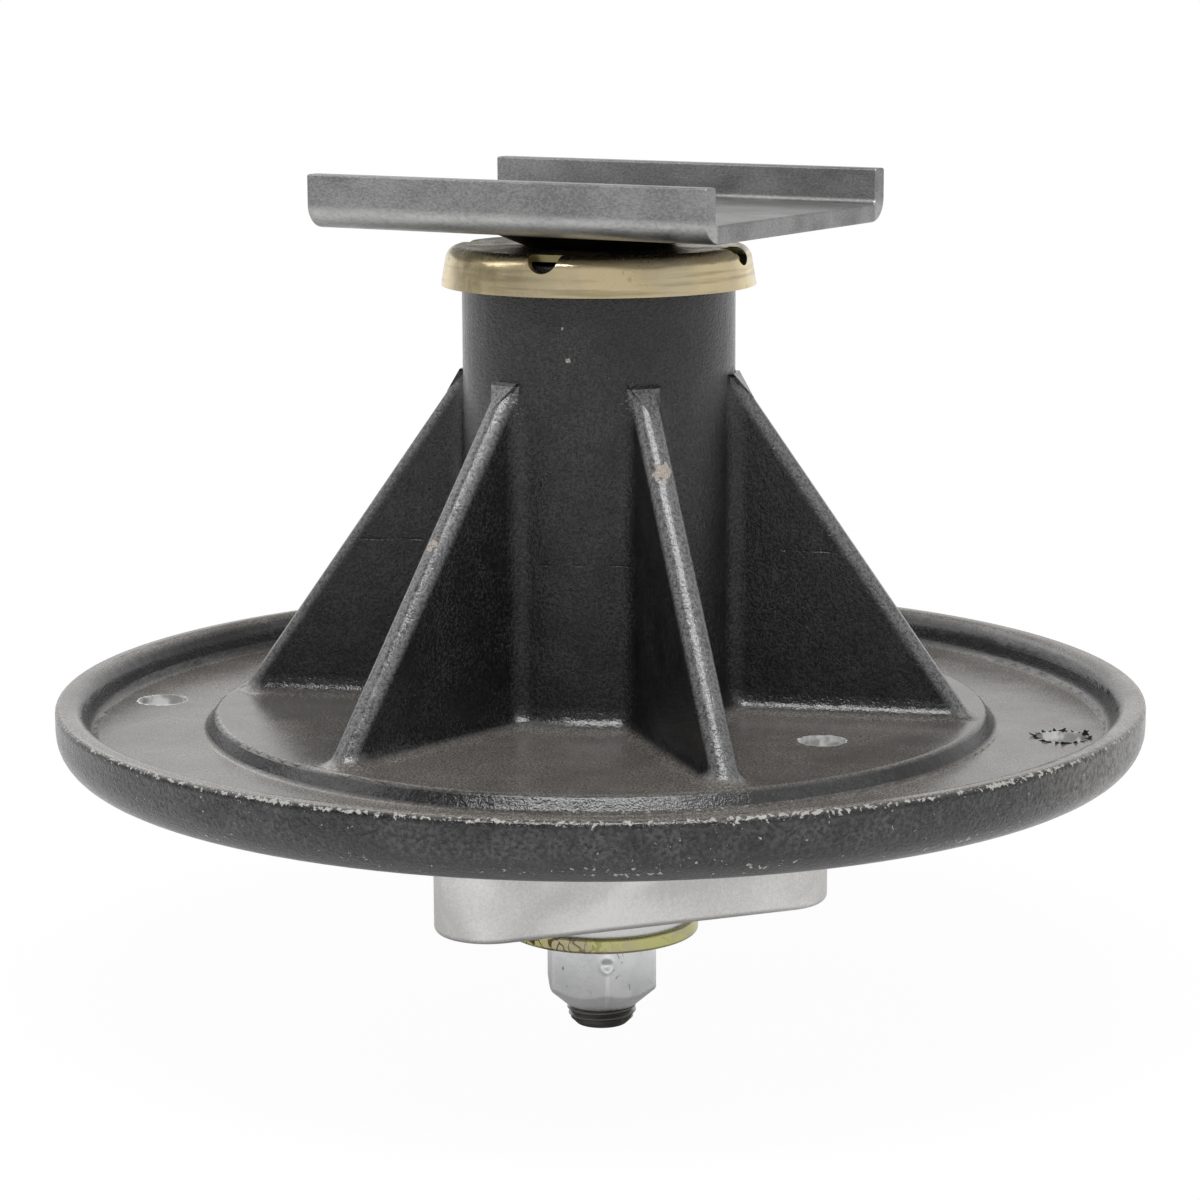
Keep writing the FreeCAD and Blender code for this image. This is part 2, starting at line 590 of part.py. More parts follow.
def make_hub():
    """Three-lobed hub that carries the pulley: lobed plate, neck, pilot, bore and keyway."""
    body = new_body("pulley_hub", turn="hub_turn")
    outline = new_sketch(body, "lobe_outline", "XY_Plane", lift=HUB_FACE)
    corner = "2 * hub_inradius"
    draw_outline(outline, [
        (f"{corner} * cos(120 deg * {lobe})", f"{corner} * sin(120 deg * {lobe})", "hub_lobe_radius")
        for lobe in range(3)
    ])
    plate = add_pad(body, "lobed_plate", outline, "hub_thickness")
    add_fillet(body, "plate_edges", plate, "hub_edge_fillet", lambda edge: not along_line(edge, UP))
    add_turned(body, "neck_and_pilot", "Revolution", [
        ("shaft_seat_radius", WASHER_TOP),
        ("hub_pilot_radius", WASHER_TOP),
        ("hub_pilot_radius", f"{HUB_FACE} + hub_thickness / 2"),
        ("hub_neck_radius", f"{HUB_FACE} + hub_thickness / 2"),
        ("hub_neck_radius", "drive_bearing_base"),
        ("shaft_seat_radius", "drive_bearing_base"),
    ])
    add_round_cut(body, "hub_bore", "0", "0", "shaft_seat_radius + slip_clearance", WASHER_TOP)
    slot = new_sketch(body, "hub_keyway_outline", "XY_Plane", lift=WASHER_TOP)
    draw_rectangle(slot, "0", f"{KEY_SINK} + key_width + slip_clearance",
                   "-key_width / 2 - slip_clearance", "key_width / 2 + slip_clearance")
    add_through_cut(body, "hub_keyway", slot)
    lobe_centre = "2 * (hub_inradius - hub_lobe_radius)"
    add_round_cut(body, "pulley_hole", lobe_centre, "0", "hub_hole_radius", HUB_FACE, "3")


def make_key():
    """Square key between the shaft and the hub."""
    body = new_body("drive_key", turn="hub_turn")
    outline = new_sketch(body, "key_outline", "YZ_Plane", lift=KEY_SINK)
    draw_rectangle(outline, "-key_width / 2", "key_width / 2", KEY_BASE, KEY_TOP)
    add_pad(body, "key_bar", outline, "key_width")


def make_washer():
    """Flat washer under the nut."""
    body = new_body("clamp_washer")
    add_turned(body, "washer_ring", "Revolution", [
        ("washer_hole_radius", NUT_TOP),
        ("washer_radius", NUT_TOP, "washer_edge_fillet"),
        ("washer_radius", WASHER_TOP, "washer_edge_fillet"),
        ("washer_hole_radius", WASHER_TOP),
    ])


def make_nut():
    """Hexagon lock nut, chamfered above and conical below."""
    body = new_body("clamp_nut", turn="nut_turn")
    outline = new_sketch(body, "hexagon", "XY_Plane", lift=NUT_END)
    draw_outline(outline, [
        (f"{NUT_REACH} * cos(60 deg * {corner})", f"{NUT_REACH} * sin(60 deg * {corner})")
        for corner in range(6)
    ])
    add_pad(body, "hexagon_bar", outline, "nut_height")
    rim = f"{NUT_REACH} + cut_margin"
    ends = (
        ("upper_chamfer", NUT_TOP, "-", "nut_face_radius", "nut_chamfer_angle"),
        ("lower_cone", NUT_END, "+", "nut_cone_radius", "nut_cone_angle"),
    )
    for name, level, inwards, face, slope in ends:
        edge = f"{level} {inwards} ({rim} - {face}) * tan({slope} * 1 deg)"
        add_turned(body, name, "Groove", [(face, level), (rim, level), (rim, edge)])
    add_round_cut(body, "nut_bore", "0", "0", "thread_root_radius + slip_clearance", NUT_END)


def check_model():
    """Stop if any object of the document failed or any sub-part's solid is missing or invalid."""
    for item in doc.Objects:
        if "Invalid" in item.State or "Error" in item.State:
            raise RuntimeError(f"{item.Name} failed: {item.State}")
    for part in sub_parts:
        if part.Shape.isNull() or not part.Shape.isValid() or not part.Shape.Solids:
            raise RuntimeError(f"{part.Label} has no valid solid")
        if part.isDerivedFrom("PartDesign::Body") and len(part.Shape.Solids) > 1:
            raise RuntimeError(f"{part.Label} is in pieces")


make_housing()
make_shaft()
make_channel()
make_cap()
make_bearing("drive", "drive_bearing_base")
make_bearing("blade", BLADE_BEARING_BASE)
make_spacer()
make_hub()
make_key()
make_washer()
make_nut()
doc.recompute()
check_model()

os.makedirs("parts", exist_ok=True)
for part in sub_parts:
    part.Shape.exportStep(f"parts/{part.Label}.step")
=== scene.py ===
"""Mower deck spindle, dressed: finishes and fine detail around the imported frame."""

import json
import logging
import math
from dataclasses import dataclass
from enum import Enum
from typing import Optional, Union

import bmesh
import bpy
from mathutils import Matrix, Vector


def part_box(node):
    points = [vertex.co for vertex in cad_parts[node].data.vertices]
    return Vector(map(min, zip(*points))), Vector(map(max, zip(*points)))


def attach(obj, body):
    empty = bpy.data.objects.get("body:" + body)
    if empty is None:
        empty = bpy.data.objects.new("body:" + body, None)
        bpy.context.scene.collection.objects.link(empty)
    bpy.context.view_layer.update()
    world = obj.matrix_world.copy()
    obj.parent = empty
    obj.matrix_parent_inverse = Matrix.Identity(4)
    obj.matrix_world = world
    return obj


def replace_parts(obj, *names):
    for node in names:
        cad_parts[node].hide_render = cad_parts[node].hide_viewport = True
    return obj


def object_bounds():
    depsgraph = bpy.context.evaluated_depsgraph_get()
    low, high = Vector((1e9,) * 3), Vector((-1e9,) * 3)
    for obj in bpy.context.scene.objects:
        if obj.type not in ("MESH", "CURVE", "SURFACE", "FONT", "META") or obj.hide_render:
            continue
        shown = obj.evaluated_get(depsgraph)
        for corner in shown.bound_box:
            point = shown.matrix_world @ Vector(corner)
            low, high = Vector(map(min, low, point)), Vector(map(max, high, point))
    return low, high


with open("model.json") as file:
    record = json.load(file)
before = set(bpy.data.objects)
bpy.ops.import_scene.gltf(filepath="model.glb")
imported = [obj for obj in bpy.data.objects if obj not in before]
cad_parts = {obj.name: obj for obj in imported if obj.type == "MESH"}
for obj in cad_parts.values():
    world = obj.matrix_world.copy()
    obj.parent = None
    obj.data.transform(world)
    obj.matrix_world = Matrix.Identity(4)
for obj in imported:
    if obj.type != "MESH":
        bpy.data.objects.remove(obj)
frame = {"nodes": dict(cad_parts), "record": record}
CAD_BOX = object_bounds()

LOG = logging.getLogger("mower_deck_spindle")
MM = 0.001
NOISE_BAND = (0.3, 0.7)
NARROW_BAND = (0.4, 0.6)
WHITE = (1.0, 1.0, 1.0)

Socket = bpy.types.NodeSocket
Material = bpy.types.Material
Mesh = bpy.types.Mesh
Colour = tuple[float, float, float]
Feed = Union["Value", Socket, float, Colour]


class Body(Enum):
    """Bodies of the frame that carry pieces."""

    HOUSING = "housing"
    SPINDLE = "spindle"


class Effect(Enum):
    """Surface effects that several finishes share, each one shader node group."""

    GRAIN = "surface_grain"
    SPECKS = "scattered_specks"
    SCUFFS = "fine_scuffs"
    DUST = "settled_dust"


def polar(radius: float, azimuth: float, height: float = 0.0) -> Vector:
    """A spot round the axis.

    Args:
        radius: Its distance from the axis.
        azimuth: Its azimuth in degrees.
        height: Its height.

    Returns:
        The spot.
    """
    angle = math.radians(azimuth)
    return Vector((radius * math.cos(angle), radius * math.sin(angle), height))


class Value:
    """A node's output, on which sums are written with the usual signs."""

    def __init__(self, sheet: "NodeSheet", socket: Socket) -> None:
        """Hold an output of a sheet's tree."""
        self.sheet = sheet
        self.socket = socket

    def __add__(self, other: Feed) -> "Value":
        """The sum."""
        return self.sheet.calc("ADD", self, other)

    def __sub__(self, other: Feed) -> "Value":
        """The difference."""
        return self.sheet.calc("SUBTRACT", self, other)

    def __rsub__(self, other: Feed) -> "Value":
        """The difference from a number."""
        return self.sheet.calc("SUBTRACT", other, self)

    def __mul__(self, other: Feed) -> "Value":
        """The product."""
        return self.sheet.calc("MULTIPLY", self, other)

    def __lt__(self, other: Feed) -> "Value":
        """Mask of where this is less."""
        return self.sheet.calc("LESS_THAN", self, other)

    def __gt__(self, other: Feed) -> "Value":
        """Mask of where this is greater."""
        return self.sheet.calc("GREATER_THAN", self, other)

    def __abs__(self) -> "Value":
        """The size without its sign."""
        return self.sheet.calc("ABSOLUTE", self)


class NodeSheet:
    """A node tree, with short calls that add nodes and join them."""

    def __init__(self, tree: bpy.types.NodeTree) -> None:
        """Take over a tree, emptied of the nodes it came with."""
        self.tree = tree
        tree.nodes.clear()

    def feed(self, socket: Socket, value: Feed) -> None:
        """Link an input to another node's output, or set it to a constant.

        Args:
            socket: The input.
            value: An output to link from, a number or a colour.
        """
        if isinstance(value, Value):
            value = value.socket
        if isinstance(value, Socket):
            self.tree.links.new(value, socket)
        elif socket.type == "RGBA":
            socket.default_value = (*value, 1.0)
        else:
            socket.default_value = value

    def add(self, kind: str, feeds: Optional[dict] = None, **settings: object) -> bpy.types.Node:
        """Add a node.

        Args:
            kind: Blender's name of the node's type.
            feeds: What each input, by name or place, is set to or linked from.
            settings: The node's own properties.

        Returns:
            The new node.
        """
        node = self.tree.nodes.new(kind)
        for key, value in settings.items():
            setattr(node, key, value)
        for key, value in (feeds or {}).items():
            self.feed(node.inputs[key], value)
        return node

    def result(self, kind: str, feeds: Optional[dict] = None, output: Union[str, int] = 0,
               **settings: object) -> Value:
        """Add a node and take one of its outputs.

        Args:
            kind: Blender's name of the node's type.
            feeds: What each input, by name or place, is set to or linked from.
            output: The output, by name or place.
            settings: The node's own properties.

        Returns:
            The output.
        """
        return Value(self, self.add(kind, feeds, **settings).outputs[output])

    def calc(self, operation: str, *terms: Feed) -> Value:
        """Work out a sum on numbers.

        Args:
            operation: Name of the Math node's operation.
            terms: Its inputs, in order.

        Returns:
            The result.
        """
        return self.result("ShaderNodeMath", dict(enumerate(terms)), operation=operation)

    def highest(self, *terms: Feed) -> Feed:
        """Join masks so that the strongest shows.

        Args:
            terms: The masks.

        Returns:
            The greatest of them at each point.
        """
        result = terms[0]
        for term in terms[1:]:
            result = self.calc("MAXIMUM", result, term)
        return result

    def span(self, value: Feed, start: Feed, end: Feed, low: float = 0.0, high: float = 1.0) -> Value:
        """Ease from one number to another as a value crosses a range.

        Args:
            value: What is measured.
            start: Value at which the result is low.
            end: Value at which the result is high.
            low: Result before the range.
            high: Result after the range.

        Returns:
            The eased result.
        """
        feeds = dict(enumerate((value, start, end, low, high)))
        return self.result("ShaderNodeMapRange", feeds, interpolation_type="SMOOTHSTEP")

    def ease(self, share: Feed, low: float, high: float) -> Value:
        """Ease from one number to another as a mask goes from 0 to 1.

        Args:
            share: The mask.
            low: Result at 0.
            high: Result at 1.

        Returns:
            The eased result.
        """
        return self.span(share, 0.0, 1.0, low, high)

    def mix(self, share: Feed, first: Feed, second: Feed) -> Value:
        """Mix two colours.

        Args:
            share: How much of the second shows.
            first: Colour at share 0.
            second: Colour at share 1.

        Returns:
            The mixed colour.
        """
        return self.result("ShaderNodeMix", {0: share, 6: first, 7: second}, 2, data_type="RGBA")

    def layered(self, base: Feed, *coats: tuple[Feed, Colour]) -> Feed:
        """Lay colours over one another.

        Args:
            base: Colour below all.
            coats: Mask and colour of each coat, from the lowest up.

        Returns:
            The colour that shows.
        """
        for mask, tint in coats:
            base = self.mix(mask, base, tint)
        return base

    def noise(self, place: Feed, size: float, detail: float = 2.0, distortion: float = 0.0) -> Value:
        """Soft noise.

        Args:
            place: Coordinates in millimetres.
            size: Rough size of its patches, in millimetres.
            detail: Octaves of finer noise on top.
            distortion: How far the patches are bent.

        Returns:
            A value about 0.5.
        """
        feeds = {"Vector": place, "Scale": 1.0 / size, "Detail": detail, "Distortion": distortion}
        return self.result("ShaderNodeTexNoise", feeds)

    def coordinates(self, kind: str = "Object") -> Value:
        """Coordinates of one kind, in metres."""
        return self.result("ShaderNodeTexCoord", output=kind)

    def times(self, vector: Feed, factor: Feed) -> Value:
        """A vector or a colour times a number."""
        return self.result("ShaderNodeVectorMath", {"Vector": vector, "Scale": factor}, operation="SCALE")

    def millimetres(self) -> Value:
        """Object coordinates in millimetres."""
        return self.times(self.coordinates(), 1.0 / MM)

    def scaled(self, place: Feed, size: Feed) -> Value:
        """Coordinates counted in steps of a size."""
        return self.times(place, self.calc("DIVIDE", 1.0, size))

    def parts(self, vector: Feed) -> tuple[Value, ...]:
        """The three numbers of a vector."""
        outputs = self.add("ShaderNodeSeparateXYZ", {"Vector": vector}).outputs
        return tuple(Value(self, output) for output in outputs)

    def vector(self, x: Feed = 0.0, y: Feed = 0.0, z: Feed = 0.0) -> Value:
        """The vector that three numbers make."""
        return self.result("ShaderNodeCombineXYZ", {"X": x, "Y": y, "Z": z})

    def length(self, first: Value, second: Value) -> Value:
        """Length of the flat vector that two numbers make."""
        return self.calc("SQRT", first * first + second * second)

    def facing_up(self) -> Value:
        """How far the surface faces up, from -1 to 1."""
        return self.parts(self.result("ShaderNodeNewGeometry", output="Normal"))[2]

    def stretched(self, place: Feed, x: float, y: float, z: float) -> Value:
        """Coordinates scaled by a number along each axis."""
        return self.result("ShaderNodeMapping", {"Vector": place, "Scale": (x, y, z)})

    def turned(self, place: Feed, angles: Colour) -> Value:
        """Coordinates turned about each axis."""
        return self.result("ShaderNodeMapping", {"Vector": place, "Rotation": angles})

    def measure(self, operation: str, place: Feed, other: Vector) -> Value:
        """A number from two vectors, such as their DISTANCE or DOT_PRODUCT."""
        feeds = {0: place, 1: tuple(other)}
        return self.result("ShaderNodeVectorMath", feeds, "Value", operation=operation)


class EffectShelf:
    """Builds each shared effect once and places it in materials."""

    def __init__(self) -> None:
        """Start with no group built."""
        self.groups: dict[Effect, bpy.types.NodeTree] = {}

    def place(self, sheet: NodeSheet, effect: Effect, place: Value, **values: float) -> dict[str, Value]:
        """Put an effect into a material.

        Args:
            sheet: The material's nodes.
            effect: Which effect.
            place: Coordinates in millimetres.
            values: The group's other inputs, by name in small letters.

        Returns:
            The group's outputs by name.
        """
        if effect not in self.groups:
            makers = {
                Effect.GRAIN: self._grain,
                Effect.SPECKS: self._specks,
                Effect.SCUFFS: self._scuffs,
                Effect.DUST: self._dust,
            }
            self.groups[effect] = makers[effect](effect.value)
        feeds = {name.replace("_", " ").title(): value for name, value in values.items()}
        node = sheet.add("ShaderNodeGroup", node_tree=self.groups[effect])
        for name, value in {"Vector": place, **feeds}.items():
            sheet.feed(node.inputs[name], value)
        return {output.name: Value(sheet, output) for output in node.outputs}

    def mask(self, sheet: NodeSheet, effect: Effect, place: Value, **values: float) -> Value:
        """Put an effect that gives one mask into a material, with the arguments of place."""
        return self.place(sheet, effect, place, **values)["Mask"]

    @staticmethod
    def _open(name: str, numbers: dict[str, float], results: tuple[str, ...]) -> tuple[NodeSheet, dict, dict]:
        """Start a group.

        Args:
            name: The group's name.
            numbers: Its number inputs and their usual values; a Vector input comes first.
            results: Its number outputs.

        Returns:
            The group's sheet, its inputs by name and the sockets to feed by name.
        """
        tree = bpy.data.node_groups.new(name, "ShaderNodeTree")
        tree.interface.new_socket("Vector", in_out="INPUT", socket_type="NodeSocketVector")
        for key, usual in numbers.items():
            socket = tree.interface.new_socket(key, in_out="INPUT", socket_type="NodeSocketFloat")
            socket.default_value = usual
        for key in results:
            tree.interface.new_socket(key, in_out="OUTPUT", socket_type="NodeSocketFloat")
        sheet = NodeSheet(tree)
        inputs = sheet.add("NodeGroupInput").outputs
        outputs = sheet.add("NodeGroupOutput").inputs
        given = {key: Value(sheet, inputs[key]) for key in ("Vector", *numbers)}
        return sheet, given, {key: outputs[key] for key in results}

    def _grain(self, name: str) -> bpy.types.NodeTree:
        """Grain: a fine relief of pebbles and a slow mottle, both about 0.5."""
        pebble, crumb, patch = 1.0, 0.42, 11.0
        sheet, given, results = self._open(name, {"Size": 1.0, "Fine Share": 0.4}, ("Height", "Mottle"))
        place = sheet.scaled(given["Vector"], given["Size"])
        fine = given["Fine Share"]
        height = sheet.noise(place, pebble, 1.0) * (1.0 - fine) + sheet.noise(place, crumb, 1.0) * fine
        sheet.feed(results["Height"], height)
        sheet.feed(results["Mottle"], sheet.noise(place, patch, 4.0))
        return sheet.tree

    def _specks(self, name: str) -> bpy.types.NodeTree:
        """Specks: small round marks, one in some cells of an uneven grid."""
        least, core = 0.25, 0.7
        usual = {"Spacing": 5.0, "Share": 0.2, "Size": 0.15}
        sheet, given, results = self._open(name, usual, ("Mask",))
        place = sheet.scaled(given["Vector"], given["Spacing"])
        cells = sheet.add("ShaderNodeTexVoronoi", {"Vector": place}).outputs
        chance, girth, _ = sheet.parts(cells["Color"])
        reach = given["Size"] * (girth + least)
        mark = sheet.span(cells["Distance"], reach, reach * core)
        sheet.feed(results["Mask"], (chance < given["Share"]) * mark)
        return sheet.tree

    def _scuffs(self, name: str) -> bpy.types.NodeTree:
        """Scuffs: thin straight marks in three directions, in patches."""
        thinness, line, height, patch = 0.022, 0.012, 0.62, 0.6
        sheet, given, results = self._open(name, {"Length": 20.0, "Amount": 0.5}, ("Mask",))
        place = sheet.scaled(given["Vector"], given["Length"])
        marks = []
        for turn in ((0.3, 0.9, 0.2), (1.2, -0.5, 0.8), (-0.7, 0.4, 1.9)):
            slope = sheet.turned(place, turn)
            lanes = sheet.noise(sheet.stretched(slope, 1.0, 1.0 / thinness, 1.0 / thinness), 1.0, 1.0)
            shown = sheet.span(sheet.noise(slope, patch, 1.0), 0.52, 0.6)
            marks.append(sheet.span(abs(lanes - height), line, 0.0) * shown)
        sheet.feed(results["Mask"], sheet.highest(*marks) * given["Amount"])
        return sheet.tree

    def _dust(self, name: str) -> bpy.types.NodeTree:
        """Dust: grit that settles on what faces up, thicker in patches."""
        usual = {"Patch Size": 20.0, "Grit Size": 0.7, "Amount": 0.5}
        sheet, given, results = self._open(name, usual, ("Mask",))
        mask = sheet.span(sheet.facing_up(), 0.55, 0.95) * given["Amount"]
        for key, low, high, rest in (("Patch Size", 0.36, 0.64, 0.7), ("Grit Size", 0.44, 0.6, 0.4)):
            place = sheet.scaled(given["Vector"], given[key])
            mask = mask * sheet.span(sheet.noise(place, 1.0, 3.0), low, high, rest, 1.0)
        sheet.feed(results["Mask"], mask)
        return sheet.tree


SHELF = EffectShelf()


def new_material(name: str) -> tuple[Material, NodeSheet, bpy.types.Node]:
    """Start a material with a Principled shader.

    Args:
        name: The finish's name.

    Returns:
        The material, its nodes and the shader.
    """
    material = bpy.data.materials.new(name)
    material.use_nodes = True
    sheet = NodeSheet(material.node_tree)
    shader = sheet.add("ShaderNodeBsdfPrincipled")
    sheet.add("ShaderNodeOutputMaterial", {"Surface": shader.outputs["BSDF"]})
    return material, sheet, shader


def coat_shader(sheet: NodeSheet, shader: bpy.types.Node, colour: Feed, roughness: Feed,
                relief: tuple[Value, float], metallic: Feed = 1.0) -> None:
    """Feed a shader.

    Args:
        sheet: The material's nodes.
        shader: The shader.
        colour: Its base colour.
        roughness: Its roughness.
        relief: Height from 0 to 1, and what a height of 1 measures in millimetres.
        metallic: How far it is metal.
    """
    height, depth = relief
    bump = sheet.result("ShaderNodeBump", {"Height": height, "Distance": depth * MM, "Strength": 1.0}, "Normal")
    feeds = {"Base Color": colour, "Roughness": roughness, "Metallic": metallic, "Normal": bump}
    for name, value in feeds.items():
        sheet.feed(shader.inputs[name], value)


@dataclass(frozen=True)
class CastingShape:
    """Sizes of the casting that its wear follows, in millimetres and degrees."""

    flange_radius: float
    bolt_circle: float
    bolt_hole: float
    rim_height: float = 14.1
    floor_height: float = 6.8
    pad_radius: float = 87.6
    tube_radius: float = 30.3
    bore_radius: float = 24.0
    gusset_count: int = 6
    gusset_turn: float = 20.0
    gusset_foot: float = 11.0
    gusset_top: float = 87.0
    gusset_lean: float = 0.701
    gusset_thickness: float = 6.2
    drain_reach: float = 61.7
    drain_turn: float = -7.7
    drain_hole: float = 5.0
    parting_height: float = 47.0

    def nose_spot(self, azimuth: float, height: float) -> Vector:
        """A spot on a gusset's free edge.

        Args:
            azimuth: The gusset's azimuth.
            height: Height of the spot.

        Returns:
            The spot in millimetres.
        """
        return polar(self.tube_radius + self.gusset_lean * (self.gusset_top - height), azimuth, height)


@dataclass(frozen=True)
class CastingPlace:
    """Where a point of the casting lies, as node values in millimetres.

    Besides its coordinates these are its distance from the axis, its height, and its distances along
    and across the nearest gusset.
    """

    sheet: NodeSheet
    place: Value
    radius: Value
    z: Value
    along: Value
    across: Value


@dataclass(frozen=True)
class PaintedCasting:
    """Black satin paint on a pebbled casting, chipped to bare iron at its edges."""

    shape: CastingShape
    paint: Colour = (0.0095, 0.0095, 0.0098)
    chip: Colour = (0.36, 0.352, 0.33)
    tan_chip: Colour = (0.30, 0.265, 0.235)
    tan_wear: Colour = (0.20, 0.18, 0.155)
    drilled: Colour = (0.7, 0.7, 0.69)
    bare: Colour = (0.55, 0.545, 0.53)
    # Colour of settled dust, which on the flange floor is also a painted sheen
    dust: Colour = (0.25, 0.232, 0.21)
    # Colour of the paler pebbly patches on the rim's outer side
    rim_side_pale: Colour = (0.062, 0.062, 0.063)
    # Colour of the painted highlight along the gussets' free edges
    painted_nose_sheen: Colour = (0.12, 0.12, 0.121)
    # Colour of the painted glints: tiny bright specks on the paint
    painted_glint: Colour = (0.42, 0.41, 0.39)
    hollow: Colour = (0.004, 0.004, 0.004)
    steep_roughness: float = 0.15
    slope_roughness: float = 0.11
    worn_roughness: float = 0.55
    drilled_metal: float = 0.35
    pebble: float = 0.75
    pebble_depth: float = 0.34
    worn_side: float = -45.0
    tan_side: float = 20.0

    def material(self) -> Material:
        """The finish as a material."""
        material, sheet, shader = new_material("painted_casting")
        shape, at = self.shape, self._place(sheet)
        place = at.place
        level = sheet.span(sheet.facing_up(), 0.8, 0.97)
        sloping = sheet.span(sheet.facing_up(), 0.12, 0.45)
        on_floor = level * sheet.span(at.radius, shape.pad_radius, shape.pad_radius + 3.0)
        rim_side = (sheet.span(at.radius, shape.flange_radius - 3.0, shape.flange_radius)
                    * sheet.span(at.z, shape.rim_height, shape.rim_height - 2.0))

        drilled = self._drilled(at)
        seats = at.radius < shape.bore_radius
        from_nose = self._from_nose(at)
        chips = self._chips(at, from_nose)
        spots = self._named_chips(at)
        seam = self._parting_line(at)
        grain = SHELF.place(sheet, Effect.GRAIN, place, size=self.pebble, fine_share=0.5)
        height, mottle = grain["Height"], grain["Mottle"]
        # Settled dust on what faces up, heaviest on the flange floor: partly real dust, partly a painted sheen
        # standing in for the floor's grazing reflection of the white surroundings
        dust_and_sheen_film = SHELF.mask(sheet, Effect.DUST, place, grit_size=0.45, amount=0.85)
        dust_and_sheen_film = dust_and_sheen_film * sheet.ease(on_floor, 0.75, 1.0)
        pits = SHELF.mask(sheet, Effect.SPECKS, place, spacing=5.2, share=0.3, size=0.1) * on_floor
        # Painted glints: sparse tiny bright specks standing in for the pebbled paint's sparkle
        painted_glint = SHELF.mask(sheet, Effect.SPECKS, place, spacing=2.8, share=0.26, size=0.05)
        pebbles = rim_side * sheet.noise(place, 0.9, 3.0)

        # Random mottled tone, darker in the pebbles' hollows and paler on their crests: partly worn crests, partly
        # painted shade in the hollows
        shade = sheet.span(mottle, *NOISE_BAND, 0.75, 1.3) * sheet.span(height, 0.38, 0.62, 0.4, 2.2)
        # Paler in pebbly patches on the rim's outer side
        rim_side_pale = rim_side * sheet.span(pebbles, 0.36, 0.7) * sheet.span(mottle, 0.35, 0.65, 0.4, 1.0)
        # Painted highlight: the gussets' free edges made paler, broken up by the pebbles
        painted_nose_sheen = sheet.span(from_nose, 3.4, 1.4) * sheet.span(height, 0.36, 0.6, 0.25, 1.0)
        cut = drilled * sheet.span(sheet.noise(place, 3.5), *NARROW_BAND, 0.45, 1.0)
        colour = sheet.layered(
            sheet.times(self.paint, shade),
            (rim_side_pale, self.rim_side_pale), (painted_nose_sheen, self.painted_nose_sheen), (self._tan_wear(at), self.tan_wear),
            (dust_and_sheen_film, self.dust), (sheet.highest(pits, seam), self.hollow), (painted_glint, self.painted_glint),
            (chips, self.chip), (spots, self.tan_chip), (cut, self.drilled), (seats, self.bare),
        )

        gloss = sheet.ease(sloping, self.steep_roughness, self.slope_roughness) + level * 0.04
        gloss = gloss + sheet.span(mottle, *NOISE_BAND, 0.0, 0.06) + dust_and_sheen_film * 0.12
        worn = sheet.highest(chips, spots, pits, painted_glint, drilled) * self.worn_roughness
        calm = sheet.ease(sheet.highest(level, drilled, seats), 1.0, 0.2) * sheet.ease(sloping, 1.0, 0.38)
        relief = height * calm + sheet.noise(place, 6.0) * sheet.ease(level, 0.6, 0.08) + pebbles * 0.8
        torn = sheet.highest(chips, spots) * sheet.span(sheet.noise(place, 0.8), *NOISE_BAND)
        loss = sheet.highest(torn, pits, seam * 0.6)
        coat_shader(sheet, shader, colour, sheet.highest(gloss, worn), (relief - loss, self.pebble_depth),
                    sheet.highest(seats, drilled * self.drilled_metal))
        return material

    def _place(self, sheet: NodeSheet) -> CastingPlace:
        """Where the shaded point lies on the casting.

        Args:
            sheet: The material's nodes.

        Returns:
            Its place.
        """
        place = sheet.millimetres()
        x, y, z = sheet.parts(place)
        radius = sheet.length(x, y)
        half_step = math.pi / self.shape.gusset_count
        offset = sheet.calc("ARCTAN2", y, x) - math.radians(self.shape.gusset_turn)
        offset = sheet.calc("WRAP", offset, half_step, -half_step)
        along, across = (radius * sheet.calc(side, offset) for side in ("COSINE", "SINE"))
        return CastingPlace(sheet, place, radius, z, along, across)

    def _drilled(self, at: CastingPlace) -> Value:
        """Bare drilled metal: the walls of the bolt holes and of the drain hole.

        Args:
            at: Where the point lies.

        Returns:
            The mask.
        """
        shape, sheet = self.shape, at.sheet
        bolt = sheet.length(at.along - shape.bolt_circle, at.across)
        drain = sheet.measure("DISTANCE", sheet.stretched(at.place, 1.0, 1.0, 0.0),
                              polar(shape.drain_reach, shape.drain_turn))
        tear = sheet.span(sheet.noise(at.place, 1.4, 3.0), 0.35, 0.65, 0.15, 0.6)
        return sheet.highest(bolt < tear + shape.bolt_hole, drain < tear + shape.drain_hole)

    def _from_nose(self, at: CastingPlace) -> Value:
        """How far from the line of the gussets' free edges a point lies, large away from the gussets.

        Args:
            at: Where the point lies.

        Returns:
            The distance in millimetres.
        """
        shape, sheet, far = self.shape, at.sheet, 99.0
        line = (shape.gusset_top - at.z) * shape.gusset_lean + shape.tube_radius
        away = sheet.highest(at.z < shape.gusset_foot, at.z > shape.gusset_top - 1.5,
                             abs(at.across) > 0.6 * shape.gusset_thickness)
        return sheet.highest(abs(line - at.along), away * far)

